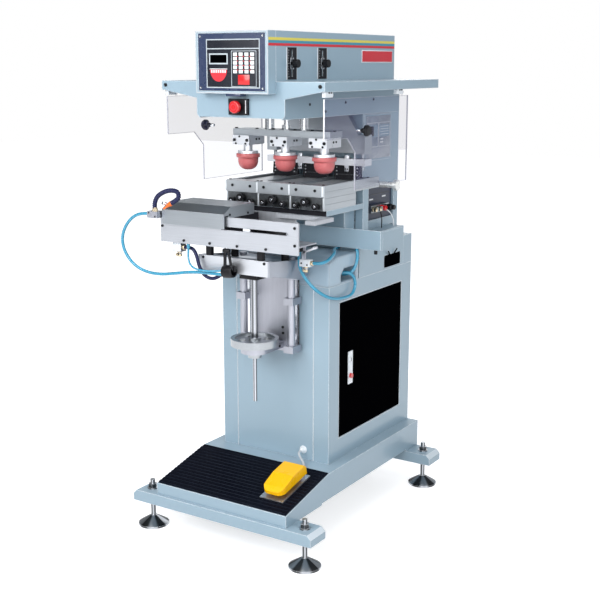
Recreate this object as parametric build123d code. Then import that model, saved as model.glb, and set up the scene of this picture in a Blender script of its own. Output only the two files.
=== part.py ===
from build123d import *
from math import atan2, cos, degrees, hypot, pi, radians, sin, tan
import os

# A floor standing three colour pad printing machine with a shuttle table.
# Millimetres, +Z up, X across the machine, Y from the operator towards the back.
# The model is built with y = 0 on the front face of the cabinet, and is moved to its
# own frame, whose origin is on the floor under the middle of the machine, when written.

# Clearances that the whole machine shares
gap = 0.3
running = 0.05
overrun = 2.0
skin = 3.0

# Floor beams and levelling feet
beam_half = 336.0
beam_depth = 83.0
beam_low = 86.0
beam_height = 36.0
beam_wall = 4.0
beam_chamfer = 13.0
foot_x = beam_half - 46.0
foot_front_y = -276.0
foot_rear_in = 46.5
disc_radius = 49.0
disc_edge = 6.0
disc_height = 30.0
disc_neck_radius = 11.0
stem_radius = 8.0
stem_proud = 30.0
stem_hole_slack = 1.0
nut_radius = 14.0
nut_height = 13.0
washer_radius = 17.0
washer_height = 3.0

# Base body with its sloping tread
base_half = 244.5
base_front = -308.0
base_front_rise = 37.0
tread_end = -61.0
base_top = 213.0
base_wall = 4.0
base_step_y = -105.0
base_step = 6.0
mat_margin = 3.0
mat_thickness = 3.0
mat_rib_height = 1.5
mat_rib_pitch = 15.5
mat_rib_width = 9.0

# Foot pedal, on the tread
pedal_x = base_half - 84.5
pedal_y = -259.0
pedal_plate_width = 84.0
pedal_plate_length = 158.0
pedal_plate_thickness = 4.0
treadle_width = 74.0
treadle_length = 142.0
treadle_height = 32.0
treadle_front_height = 20.0
treadle_inset = 8.0
treadle_wall = 3.0
treadle_lift = 12.0
treadle_pin_radius = 3.0
treadle_pin_back = 26.0
treadle_pin_up = 13.0
ear_width = 8.0
ear_length = 16.0
lead_radius = 3.5
lead_boss_width = 18.0
lead_exit = 15.0
lead_middle = ((-3.0, -70.0, 219.0), (-17.0, -50.0, 221.0), (-36.0, -42.0, 236.0))
gland_x = pedal_x - 50.0
gland_z = 246.0
gland_radius = 9.0
gland_length = 14.0
gland_flange_radius = 13.0
gland_flange = 3.0

# Cabinet and its door
cabinet_half = 203.5
cabinet_depth = 550.5
cabinet_top = 786.0
front_panel_half = 146.0
panel_clearance = 1.5
door_y0 = 63.0
door_y1 = cabinet_depth - 70.5
door_z0 = 284.0
door_z1 = 727.0
door_clearance = 2.0
door_skin = 2.5
door_return = 14.0
door_pin_radius = 2.5
door_pin_length = 8.0
door_pin_in = 4.0
door_pin_back = 6.0
door_boss = 16.0
door_boss_height = 12.0
lock_y = 131.0
lock_z0 = 449.0
lock_z1 = 557.0
lock_width = 28.0
lock_thickness = 2.5
lock_button_radius = 8.0
lock_button_proud = 6.0
lock_button_body = 10.0
key_radius = 9.0
key_height = 2.5

# Pedestals and deck over the cabinet
pedestal_depth = 178.0
pedestal_front_top = 862.0
pedestal_shoulder_y = 50.0
pedestal_top = 874.0
notch_y0 = 68.0
notch_y1 = 164.0
notch_height = 42.0
notch_foot = 6.0
notch_depth = cabinet_half - 143.5
notch_corner = 20.0
body_front = 186.0
body_back = cabinet_depth - 60.5
body_wall = 4.0
deck_top = 920.0
deck_thickness = 5.0
deck_overhang = 34.0
slot_y1 = body_back - 20.0
slot_y0 = slot_y1 - 118.0
slot_height = 42.0
slot_corner = 8.0
tail_top = 885.0
fascia_half = 298.0
fascia_low = 888.0
fascia_high = 950.0
fascia_sheet = 2.0
fascia_return = 13.0

# Ink troughs on their frame
trough_pitch = 120.0
trough_count = 3
divider = 6.0
trough_front = 6.0
trough_box_back = 194.0
trough_back = 296.0
side_rail_back = 345.0
trough_low = 1020.0
trough_ledge = 1063.0
trough_top = 1098.0
well_rim = 8.0
well_depth = 8.0
well_y0 = 34.0
well_y1 = 282.0
clamp_plate_depth = 12.0
clamp_plate_low = 1062.0
panel_depth = 4.0
side_groove = 1.5
side_groove_shares = (0.25, 0.5, 0.75)
groove_depth = 1.0
post_x = 152.0
post_width = 28.0
post_y = 246.0
post_depth = 36.0
plinth_half = 150.0
plinth_y0 = 178.0
plinth_y1 = 244.0
front_rail_height = 17.0
front_rail_depth = 16.0
knob_radius = 13.0
knob_length = 13.0
knob_flutes = 12
knob_flute_depth = 1.2
knob_stem_radius = 4.0
knob_stand = 10.0
knob_z = 1046.0
screw_radius = 10.0
screw_length = 12.0
screw_stand = 8.0
screw_z = 1034.0
screw_spread = 36.0

# Upper column and the arms that carry the head
column_half = 146.5
column_front = 300.0
column_back = cabinet_depth - 2.5
column_window_y1 = column_back - 31.0
column_window_z0 = 948.0
column_window_z1 = 1058.0
column_wall = 6.0
arm_inner = 116.0
arm_outer = 146.0
arm_low = 1312.0
arm_high = 1346.0
arm_front = -164.0
control_y0 = column_front + 8.0
control_y1 = column_back - 61.0
control_z0 = 1146.0
control_z1 = 1297.0
control_thickness = 3.0
bar_y = 358.0
bar_z = 1071.0
bar_radius = 10.0
bar_end_x = 234.0
bar_disc_radius = 18.0
bar_disc_length = 13.0
valve_clear = 4.0
valve_half = 140.0
fitting_count = 4
fitting_radius = 8.0
fitting_length = 30.0
fitting_z = 985.0
fitting_block_height = 24.0
fitting_block_length = 120.0

# Head, console and wings
head_half = 127.8
head_back = column_back - 6.0
head_top = 1550.0
console_front = -215.0
console_low = 1373.0
console_lip = 2.5
panel_half = 118.0
panel_low = 1381.0
panel_high = 1543.0
wing_half = 291.0
wing_front = -175.5
wing_back = column_back + 0.7
wing_top = 1408.0
wing_sheet = 2.5
wing_flange = 28.0
wing_inner = 106.0
skirt_half = 150.0
skirt_low = 1300.0
front_plate_low = 1303.0
front_plate_half = 158.0
arm_root_z = 1358.0
arm_tip_z = 1382.0
front_corner_radius = 12.0
stop_z = 1335.0
stop_block_half_width = 34.0
stop_block_half_height = 23.5
stop_block_depth = 10.0
stop_button_radius = 18.0
stop_button_depth = 12.0
stop_stem_radius = 11.0
stop_stand = 10.0
stop_travel = 5.0
stroke_slot_y = (-94.0, 75.0)
stroke_slot_half = 25.0
stroke_slot_z0 = 1413.0
stroke_slot_z1 = 1504.0
stroke_groove_half = 4.5
stroke_groove_margin = 8.0
stroke_plate = 2.0
stroke_knob_radius = 12.0
stroke_knob_length = 14.0
stroke_knob_stand = 9.0
stroke_stem_radius = 4.0

# Guards under the wings
guard_x = 281.0
guard_sheet = 4.0
guard_axis_z = 1371.0
guard_edge_drop = 10.5
guard_front = -164.0
guard_rear = 345.0
guard_step_z = 1246.0
guard_step_y = -34.0
guard_leg_y = 12.0
guard_leg_z = 1203.0
guard_low = 1092.0
bracket_y = (-145.0, 282.0)
bracket_length = 40.0
bracket_half = 6.0
bracket_low = 1365.0
hinge_pin_radius = 2.5
barrel_radius = 5.0
barrel_length = 9.0
guard_knob_y = 50.0
guard_knob_z = 1264.0
guard_knob_radius = 15.0
guard_knob_length = 26.0
guard_knob_neck = 6.0

# Pad carriage, pad unit and doctor blades
carriage_y0 = 26.0
carriage_y1 = 262.0
carriage_low = 1306.0
carriage_high = 1352.0
carriage_lip = 22.0
carriage_lip_height = 10.0
shaft_x = 64.0
shaft_y = 74.0
shaft_radius = 14.5
shaft_top = 1500.0
rod_radius = 9.0
rod_nut_radius = 15.0
rod_nut_height = 14.0
pad_pitch = 143.0
pad_y = 66.0
pad_plate_reach = 180.0
pad_plate_y0 = 37.0
pad_plate_y1 = 112.0
pad_plate_low = 1237.0
pad_plate_high = 1257.0
block_half = 32.0
block_y0 = 26.0
block_y1 = 112.0
block_low = 1207.0
block_jaw = 34.0
block_jaw_step = 3.0
cup_radius = 32.5
cup_low = 1178.0
cup_high = 1187.0
cup_neck_radius = 14.0
pad_flange_radius = 38.0
pad_flange = 13.0
pad_radius = 32.0
pad_skirt = 10.0
pad_low = 1126.0
pad_taper = 1.5
hanger_depth = 22.0
hanger_low = 1176.0
hanger_neck_half = 112.0
end_block = 38.0
end_block_y0 = 240.0
end_block_high = 1236.0
post_radius = 6.0
post_reach = 52.0
lift_bar_low = 1138.0
lift_bar_high = 1160.0
lift_bar_y0 = 240.0
lift_bar_y1 = 262.0
blade_plate_half = 50.0
blade_plate_low = 1100.0
blade_plate_depth = 9.0
blade_plate_taper = 3.0
blade_half = 44.0
blade_thickness = 1.5

# Vertical slide under the table
slide_half = 93.0
slide_plate = 8.0
slide_low = 566.0
slide_high = 872.0
rod_x = 90.0
rod_y = -40.0
guide_radius = 12.0
guide_low = 575.0
guide_high = 878.0
rod_block_middle = 728.0
rod_block_half = 17.0
rod_block_height = 22.0
rod_block_front = -58.0
screw_y = -110.0
spindle_radius = 11.0
spindle_low = 575.0
tail_radius = 6.5
tail_low = 420.0
wheel_radius = 75.0
wheel_rim = 13.0
wheel_low = 603.0
wheel_high = 626.0
wheel_web = 9.0
wheel_hub_radius = 19.0
wheel_slots = 4
wheel_slot_share = 0.11
hub_radius = 17.0
hub_nut_radius = 21.0
hub_low = 563.0
wheel_arm_half = 44.0
wheel_arm_low = 579.0
wheel_arm_high = 599.0
collar_half = 32.0
collar_low = 816.0
housing_half = 130.0
housing_low = 812.0
housing_high = 870.0
housing_front = -60.0
housing_back = -12.0
gusset = 6.0
gusset_low = 818.0
bed_low = 846.0
bed_high = 870.0
beam_bar_front = -218.0
beam_bar_depth = 20.0
beam_bar_high = 893.0
standoff_x = 94.0
standoff_front_y = -208.0
standoff_back_y = -80.0
standoff_radius = 12.0

# Shuttle table
table_half = 249.0
table_low = 927.0
plate_front = -250.0
plate_depth = 8.0
plate_high = 1019.0
tray_high = 1012.0
tray_back = -40.0
tray_wall = 3.0
tray_floor = 4.0
follower_slot_x0 = -18.0
follower_slot_x1 = 217.0
follower_slot_z = 986.0
follower_slot_half = 5.0
follower_radius = 4.6
follower_x = -9.0
rail_radius = 8.0
rail_y = (-200.0, -90.0)
rail_z = 955.0
slider_x0 = -225.0
slider_x1 = -8.0
slider_y0 = -218.0
slider_y1 = -72.0
slider_low = 940.0
slider_high = 1014.0
cover_x0 = -233.0
cover_x1 = 0.0
cover_front = -262.0
cover_low = 984.0
cover_lip_z = 1028.0
cover_ridge_y = -226.0
cover_top = 1047.0
cover_back = -107.0
cover_back_low = 1014.0
cover_sheet = 3.0
cover_end = 5.0
tray_open_x = 110.0
tray_floor_x = 182.0
tray_end_x = 210.0
tray_short_back = -186.0
tray_ledge_y = -150.0
tray_ledge = 12.0
tray_arm = 20.0
tray_arm_hold = 60.0

# Air fittings and hoses on the table
manifold_x0 = -275.0
manifold_x1 = -237.0
manifold_y0 = -282.0
manifold_z0 = 1001.0
manifold_z1 = 1021.0
left_valve_x = -198.0
left_valve_y = -224.0
left_valve_width = 30.0
left_valve_depth = 26.0
left_valve_low = 897.0
right_valve_x = 168.0
right_valve_y = -78.0
right_valve_width = 34.0
right_valve_depth = 20.0
right_valve_low = 863.0
right_valve_high = 884.0
valve_bracket = 4.0
elbow_radius = 6.0
elbow_length = 16.0
strap_x0 = -24.0
strap_x1 = 14.0
strap_y0 = -250.0
strap_y1 = -219.0
strap_low = 836.0
strap_high = 866.0
strap_band = 4.0
air_hose_radius = 5.0
feed_hose_radius = 7.0
nozzle_radius = 7.5
nozzle_y = -273.0
nozzle_route = ((-250.0, 1021.0), (-250.0, 1046.0), (-238.0, 1067.0), (-212.0, 1082.0),
                (-184.0, 1088.0), (-161.0, 1084.0), (-160.0, 1066.0), (-189.0, 1048.0))
nozzle_tip_length = 38.0
nozzle_tip_radius = 4.0

# Routes of the free hoses, point by point
arc_share = 0.45
left_route = ((-275.0, -268.0, 1011.0), (-306.0, -268.0, 1011.0), (-345.0, -264.0, 998.0),
              (-379.0, -260.0, 970.0), (-403.0, -256.0, 929.0), (-400.0, -252.0, 884.0),
              (-368.0, -249.0, 844.0), (-320.0, -246.0, 823.0), (-262.0, -244.0, 820.0),
              (-205.0, -243.0, 829.0), (-148.0, -243.0, 839.0), (-90.0, -243.0, 844.0),
              (-24.0, -243.0, 844.0))
feed_route = ((-181.0, -226.0, 911.0), (-159.0, -226.0, 911.0), (-142.0, -226.0, 886.0),
              (-126.0, -226.0, 858.0), (-92.0, -226.0, 844.0), (-57.0, -226.0, 851.0),
              (-24.0, -226.0, 851.0))
right_route = ((139.5, -70.0, 904.0), (139.5, -74.0, 879.0), (146.0, -76.0, 850.0),
               (168.0, -73.0, 816.0), (194.0, -57.0, 785.0), (212.0, -25.0, 762.0),
               (216.0, 20.0, 749.0), (216.0, 72.0, 744.0), (216.0, 121.0, 745.0),
               (216.5, 141.0, 775.0), (213.5, 131.0, 805.0), (199.0, 115.0, 818.0),
               (175.0, 104.0, 813.0))
short_route = ((185.0, -78.0, 874.0), (214.0, -78.0, 874.0), (227.0, -52.0, 879.0),
               (219.0, -12.0, 887.0), (204.0, 32.0, 892.0), (172.0, 80.0, 891.0),
               (142.0, 126.0, 883.0), (131.0, 178.0, 881.0))
link_route = ((187.0, 178.0, 901.0), (199.0, 166.0, 896.0), (213.0, 156.0, 878.0),
              (214.0, 152.0, 849.0), (211.0, 139.0, 822.0), (194.0, 129.0, 808.0),
              (175.0, 126.0, 806.0))
socket_radius = 7.0
socket_length = 60.0

# Places that follow from the sizes above
beam_top = beam_low + beam_height
foot_rear_y = cabinet_depth - foot_rear_in
frame_middle = (foot_front_y + foot_rear_y) / 2
tread_low = beam_top + base_front_rise
slope = atan2(base_top - tread_low, tread_end - base_front)
slope_length = hypot(base_top - tread_low, tread_end - base_front)
mat_top = mat_thickness + mat_rib_height
trough_half = trough_pitch / 2 - divider / 2 - gap
trough_edge = trough_pitch * trough_count / 2
side_outer = trough_edge + divider / 2
front_face = trough_front - panel_depth
valve_y0 = column_front + valve_clear
valve_y1 = column_window_y1 - valve_clear
hanger_back = carriage_y1 + hanger_depth
end_block_x1 = skirt_half + end_block
post_centre = skirt_half + end_block / 2
post_centre_y = (end_block_y0 + hanger_back) / 2
blade_tip = trough_top - well_depth + gap


def block(x0, x1, y0, y1, z0, z1):
    """A box between two corners."""
    return Pos((x0 + x1) / 2, (y0 + y1) / 2, (z0 + z1) / 2) * Box(x1 - x0, y1 - y0, z1 - z0)


def bar_along_x(radius, x0, x1, y, z):
    """A round bar along X."""
    return Pos((x0 + x1) / 2, y, z) * Rot(0, 90, 0) * Cylinder(radius, x1 - x0)


def bar_along_y(radius, x, y0, y1, z):
    """A round bar along Y."""
    return Pos(x, (y0 + y1) / 2, z) * Rot(90, 0, 0) * Cylinder(radius, y1 - y0)


def bar_along_z(radius, x, y, z0, z1):
    """A round bar along Z."""
    return Pos(x, y, (z0 + z1) / 2) * Cylinder(radius, z1 - z0)


def plate_along_x(points, x0, x1):
    """An outline in the YZ plane, extruded from x0 to x1."""
    face = make_face(Polyline(*[(x0, y, z) for y, z in points], close=True))
    return extrude(face, amount=x1 - x0, dir=(1, 0, 0))


def plate_along_y(points, y0, y1):
    """An outline in the XZ plane, extruded from y0 to y1."""
    face = make_face(Polyline(*[(x, y0, z) for x, z in points], close=True))
    return extrude(face, amount=y1 - y0, dir=(0, 1, 0))


def slot_along_y(x0, x1, z, half, y0, y1):
    """A slot with round ends along X, cut through from y0 to y1."""
    middle = block(x0 + half, x1 - half, y0, y1, z - half, z + half)
    return middle + bar_along_y(half, x0 + half, y0, y1, z) + bar_along_y(half, x1 - half, y0, y1, z)


def turned(points, x, y):
    """A body of revolution about a vertical line, from its outline in (radius, z)."""
    face = make_face(Polyline(*[(r, 0, z) for r, z in points], close=True))
    return Pos(x, y, 0) * revolve(face, Axis.Z)


def mirrored(solid):
    """A solid and its twin on the other side of the machine."""
    return [solid, mirror(solid, Plane.YZ)]


def hexagon(radius, x, y, z0, z1, bore):
    """A nut with its bore, standing on z0."""
    nut = extrude(RegularPolygon(radius, 6), amount=z1 - z0)
    nut -= Cylinder(bore, (z1 - z0) * 2 + overrun * 2)
    return Pos(x, y, z0) * nut


def slope_point(x, along, lift):
    """A point over the tread: along is measured up the slope from its front edge."""
    y = base_front + along * cos(slope) - lift * sin(slope)
    return (x, y, tread_low + along * sin(slope) + lift * cos(slope))


def on_slope(solid, along, lift):
    """A solid drawn flat, laid on the tread."""
    return Pos(*slope_point(0, along, lift)) * Rot(degrees(slope), 0, 0) * solid


def fluted(radius, length, flutes, depth):
    """A hand knob with flutes round its rim, from z = 0 up."""
    points = []
    for i in range(flutes * 2):
        angle = pi * i / flutes
        r = radius if i % 2 == 0 else radius - depth
        points.append((r * cos(angle), r * sin(angle)))
    return extrude(make_face(Polyline(*points, close=True)), amount=length)


def tube(name, points, radius):
    """A hose along straight runs joined by tangent arcs as large as the runs allow."""
    spots = [Vector(*p) for p in points]
    runs = [(b - a).length for a, b in zip(spots, spots[1:])]
    radii = []
    for i in range(1, len(spots) - 1):
        turn = radians((spots[i] - spots[i - 1]).get_angle(spots[i + 1] - spots[i]))
        radii.append(arc_share * min(runs[i - 1], runs[i]) / tan(turn / 2))
    path = FilletPolyline(*spots, radius=radii)
    start = Plane(origin=path @ 0, z_dir=path % 0)
    solid = sweep(start * Circle(radius), path=path)
    expected = pi * radius ** 2 * path.length
    print(f"{name}: length {path.length:.0f}, runs {[round(r) for r in runs]}, "
          f"radii {[round(r) for r in radii]}, volume share {solid.volume / expected:.4f}")
    return solid


def socket(end, before, radius, reach):
    """A fitting that goes on from the end of a hose in the same direction."""
    spot = Vector(*end)
    course = (spot - Vector(*before)).normalized()
    return Plane(origin=spot, z_dir=course) * Pos(0, 0, reach / 2) * Cylinder(radius, reach)


def save(node, pieces):
    """Write the solids of one node, moved to the frame of the machine."""
    moved = [s for piece in pieces for s in (Pos(0, -frame_middle, 0) * piece).solids()]
    export_step(Compound(children=moved), f"parts/{node}.step")
    box = Compound(children=moved).bounding_box()
    print(f"{node}: {len(moved)} solids, {[round(v) for v in (*box.min, *box.max)]}")


def make_base():
    """The base body, its beams, feet, tread and pedal."""
    front = [(base_front, beam_top), (base_front, tread_low), (tread_end, base_top)]
    rear = [(cabinet_depth, base_top), (cabinet_depth, beam_top)]
    body = plate_along_x(front + rear, -base_half, base_half)
    drop = base_wall / cos(slope)
    inner_front = base_front + base_wall
    inner_top = base_top - base_wall
    knee = base_front + (inner_top - tread_low + drop) / tan(slope)
    hollow = [(inner_front, beam_top - overrun), (inner_front, tread_low - drop + base_wall * tan(slope)),
              (knee, inner_top), (cabinet_depth - base_wall, inner_top),
              (cabinet_depth - base_wall, beam_top - overrun)]
    body -= plate_along_x(hollow, base_wall - base_half, base_half - base_wall)
    step_end = foot_rear_y - beam_depth / 2
    body -= block(-base_half - overrun, base_half + overrun, base_step_y, step_end, beam_top - overrun,
                  beam_top + base_step)
    save("base_body", [body])

    beams = []
    feet = []
    for y in (foot_front_y, foot_rear_y):
        ends = [(-beam_half, beam_low), (-beam_half, beam_top - beam_chamfer),
                (beam_chamfer - beam_half, beam_top), (beam_half - beam_chamfer, beam_top),
                (beam_half, beam_top - beam_chamfer), (beam_half, beam_low)]
        beam = plate_along_y(ends, y - beam_depth / 2, y + beam_depth / 2)
        beam -= block(beam_wall + beam_chamfer - beam_half, beam_half - beam_wall - beam_chamfer,
                      y - beam_depth / 2 + beam_wall, y + beam_depth / 2 - beam_wall,
                      beam_low + beam_wall, beam_top - beam_wall)
        for x in (-foot_x, foot_x):
            beam -= bar_along_z(stem_radius + stem_hole_slack, x, y, beam_low - overrun, beam_top + overrun)
            outline = [(0, 0), (disc_radius, 0), (disc_radius, disc_edge), (disc_neck_radius, disc_height),
                       (stem_radius, disc_height), (stem_radius, beam_top + stem_proud),
                       (0, beam_top + stem_proud)]
            feet.append(turned(outline, x, y))
            feet.append(hexagon(nut_radius, x, y, beam_low - nut_height, beam_low, stem_radius + running))
            washer_top = beam_top + washer_height
            washer = bar_along_z(washer_radius, x, y, beam_top, washer_top)
            washer -= bar_along_z(stem_radius + running, x, y, beam_top - overrun, washer_top + overrun)
            feet.append(washer)
            feet.append(hexagon(nut_radius, x, y, washer_top, washer_top + nut_height, stem_radius + running))
        beams.append(beam)
    save("cross_beams", beams)
    save("levelling_feet", feet)

    mat_half = base_half - mat_margin
    mat_length = slope_length - mat_margin * 2
    mat = block(-mat_half, mat_half, 0, mat_length, 0, mat_thickness)
    count = int(mat_length / mat_rib_pitch)
    for i in range(count):
        start = mat_rib_width / 2 + i * mat_rib_pitch
        mat += block(-mat_half, mat_half, start, start + mat_rib_width, mat_thickness, mat_top)
    save("tread_mat", [on_slope(mat, mat_margin, 0)])


def make_pedal():
    """The foot pedal: a base plate with two ears, a cover that rocks on a pin, and its short lead."""
    along = (pedal_y - base_front) / cos(slope)
    plate_half = pedal_plate_width / 2
    cover_half = treadle_width / 2
    pin_y = pedal_plate_length - treadle_pin_back
    pin_z = pedal_plate_thickness + treadle_pin_up
    plate = block(pedal_x - plate_half, pedal_x + plate_half, 0, pedal_plate_length, 0, pedal_plate_thickness)
    ear_out = cover_half - treadle_wall - gap
    ears = block(pedal_x - ear_out, pedal_x + ear_out, pin_y - ear_length / 2, pin_y + ear_length / 2,
                 pedal_plate_thickness, pin_z + ear_length / 2)
    inner = ear_out - ear_width
    ears -= block(pedal_x - inner, pedal_x + inner, pin_y - ear_length, pin_y + ear_length,
                  pedal_plate_thickness, pin_z + ear_length)
    ears -= bar_along_x(treadle_pin_radius, pedal_x - cover_half, pedal_x + cover_half, pin_y, pin_z)
    clear = overrun + gap
    rear = treadle_inset + treadle_length
    plate += block(pedal_x - lead_boss_width / 2, pedal_x + lead_boss_width / 2, rear + clear,
                   pedal_plate_length, pedal_plate_thickness, pin_z + gap)
    save("pedal_base", [on_slope(plate + ears, along, mat_top)])

    low = pedal_plate_thickness + treadle_lift
    nose = treadle_inset
    side = [(nose, low), (nose, low + treadle_front_height * 0.55),
            (nose + treadle_height * 0.5, low + treadle_front_height),
            (nose + treadle_length * 0.5, low + treadle_height), (rear - treadle_inset, low + treadle_height),
            (rear, low + treadle_height * 0.7), (rear, low)]
    cover = plate_along_x(side, pedal_x - cover_half, pedal_x + cover_half)
    upright = cover.edges().filter_by(Axis.Z).sort_by(Axis.Y)[:2]
    cover = fillet(upright, treadle_width * 0.3)
    inside = [(y + (treadle_wall if y < treadle_length / 2 else -treadle_wall), z - treadle_wall)
              for y, z in side]
    core_half = cover_half - treadle_wall
    core = plate_along_x(inside, pedal_x - core_half, pedal_x + core_half)
    fore = core.edges().filter_by(Axis.Z).sort_by(Axis.Y)[:2]
    cover -= fillet(fore, treadle_width * 0.26)
    cover += bar_along_x(treadle_pin_radius - running, pedal_x - cover_half + treadle_wall / 2,
                         pedal_x + cover_half - treadle_wall / 2, pin_y, pin_z)
    save("treadle", [on_slope(cover, along, mat_top)])

    lift = mat_top + (pedal_plate_thickness + pin_z) / 2
    start = along + pedal_plate_length
    ends = [slope_point(pedal_x, start, lift), slope_point(pedal_x, start + lead_exit, lift)]
    face = -gland_length - gland_flange
    between = [(pedal_x + dx, y, z) for dx, y, z in lead_middle]
    exits = [(gland_x, face - lead_exit, gland_z), (gland_x, face, gland_z)]
    lead = tube("pedal_lead", ends + between + exits, lead_radius)
    gland = bar_along_y(gland_radius, gland_x, face, -gland_flange, gland_z)
    gland += bar_along_y(gland_flange_radius, gland_x, -gland_flange, 0, gland_z)
    save("pedal_lead", [lead, gland])


def make_cabinet():
    """The cabinet with its front panel, and the door with its lock."""
    half = cabinet_half
    inside = half - skin
    shell = block(-half, half, 0, cabinet_depth, base_top, cabinet_top)
    shell -= block(-inside, inside, skin * 2, cabinet_depth - skin, base_top + skin, cabinet_top - skin)
    recess = front_panel_half + panel_clearance
    shell -= block(-recess, recess, -overrun, skin, base_top - overrun, cabinet_top + overrun)
    pin_x = half - door_pin_in
    pin_y = door_y1 - door_pin_back
    for z0, z1 in ((door_z0 - door_boss_height, door_z0), (door_z1, door_z1 + door_boss_height)):
        shell += block(half - door_boss, half - skin, pin_y - door_boss / 2, pin_y + door_boss / 2, z0, z1)
    shell -= block(inside - overrun, half + overrun, door_y0, door_y1, door_z0, door_z1)
    reach = door_pin_length + gap
    shell -= bar_along_z(door_pin_radius + running, pin_x, pin_y, door_z0 - reach, door_z1 + reach)
    panel = block(-front_panel_half, front_panel_half, 0, skin, base_top + gap, cabinet_top - gap)
    save("cabinet_shell", [shell, panel])

    y0, y1 = door_y0 + door_clearance, door_y1 - door_clearance
    z0, z1 = door_z0 + door_clearance, door_z1 - door_clearance
    door = block(half - door_return, half, y0, y1, z0, z1)
    door -= block(half - door_return - overrun, half - door_skin, y0 + door_skin, y1 - door_skin,
                  z0 + door_skin, z1 - door_skin)
    door += bar_along_z(door_pin_radius, pin_x, pin_y, z0 - door_pin_length, z0 + door_return)
    door += bar_along_z(door_pin_radius, pin_x, pin_y, z1 - door_return, z1 + door_pin_length)
    button_z = (lock_z0 * 3 + lock_z1) / 4
    key_z = (lock_z0 + lock_z1 * 3) / 4
    through = lock_button_radius + gap
    door -= bar_along_x(through, half - door_skin - overrun, half + overrun, lock_y, button_z)
    save("cabinet_door", [door])
    lock_half = lock_width / 2
    plate = block(half, half + lock_thickness, lock_y - lock_half, lock_y + lock_half, lock_z0, lock_z1)
    plate -= bar_along_x(lock_button_radius + running, half - overrun, half + lock_thickness + overrun,
                         lock_y, button_z)
    face = half + lock_thickness
    key = bar_along_x(key_radius, face, face + key_height, lock_y, key_z)
    save("door_lock", [plate, key])
    button = bar_along_x(lock_button_radius, half - lock_button_body, face + lock_button_proud,
                         lock_y, button_z)
    button += bar_along_x(lock_button_radius + lock_thickness, half - lock_button_body,
                          half - door_skin - gap, lock_y, button_z)
    save("lock_button", [button])


def make_bodies():
    """The front pedestal, the rear body with its deck, and the fascia of the deck."""
    half = cabinet_half
    side = [(0, cabinet_top), (0, pedestal_front_top), (pedestal_shoulder_y, pedestal_top),
            (pedestal_depth, pedestal_top), (pedestal_depth, cabinet_top)]
    pedestal = plate_along_x(side, -half, half)
    wall = body_wall * 2
    inner = half - notch_depth - wall
    pedestal -= block(-inner, inner, wall, pedestal_depth - wall, cabinet_top + wall,
                      pedestal_front_top - wall)
    low = cabinet_top + notch_foot
    for sign in (-1, 1):
        cut = plate_along_x([(notch_y0, low), (notch_y0, low + notch_height - notch_corner),
                             (notch_y0 + notch_corner, low + notch_height), (notch_y1, low + notch_height),
                             (notch_y1, low)], half - notch_depth, half + overrun)
        pedestal -= cut if sign == 1 else mirror(cut, Plane.YZ)
    save("front_pedestal", [pedestal])

    deck_low = deck_top - deck_thickness
    body = block(-half, half, body_front, body_back, cabinet_top, deck_low)
    inner = half - body_wall
    body -= block(-inner, inner, body_front + body_wall, body_back - body_wall, cabinet_top + body_wall,
                  deck_low - body_wall)
    slot = block(inner - overrun, half + overrun, slot_y0, slot_y1, cabinet_top + notch_foot,
                 cabinet_top + notch_foot + slot_height)
    body -= fillet(slot.edges().filter_by(Axis.X), slot_corner)
    tail = block(-half, half, body_back, cabinet_depth, cabinet_top, tail_top)
    tail -= block(-inner, inner, body_back + body_wall, cabinet_depth - body_wall, cabinet_top + body_wall,
                  tail_top - body_wall)
    deck = block(-half, half, body_front - deck_overhang, body_back, deck_low, deck_top)
    save("rear_body", [body, tail, deck])

    back = body_front - deck_overhang
    fascia = block(-fascia_half, fascia_half, back - fascia_sheet, back, fascia_low, fascia_high)
    for x0 in (-fascia_half, fascia_half - fascia_sheet):
        fascia += block(x0, x0 + fascia_sheet, back, back + fascia_return, fascia_low, fascia_high)
    save("deck_fascia", [fascia])


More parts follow.
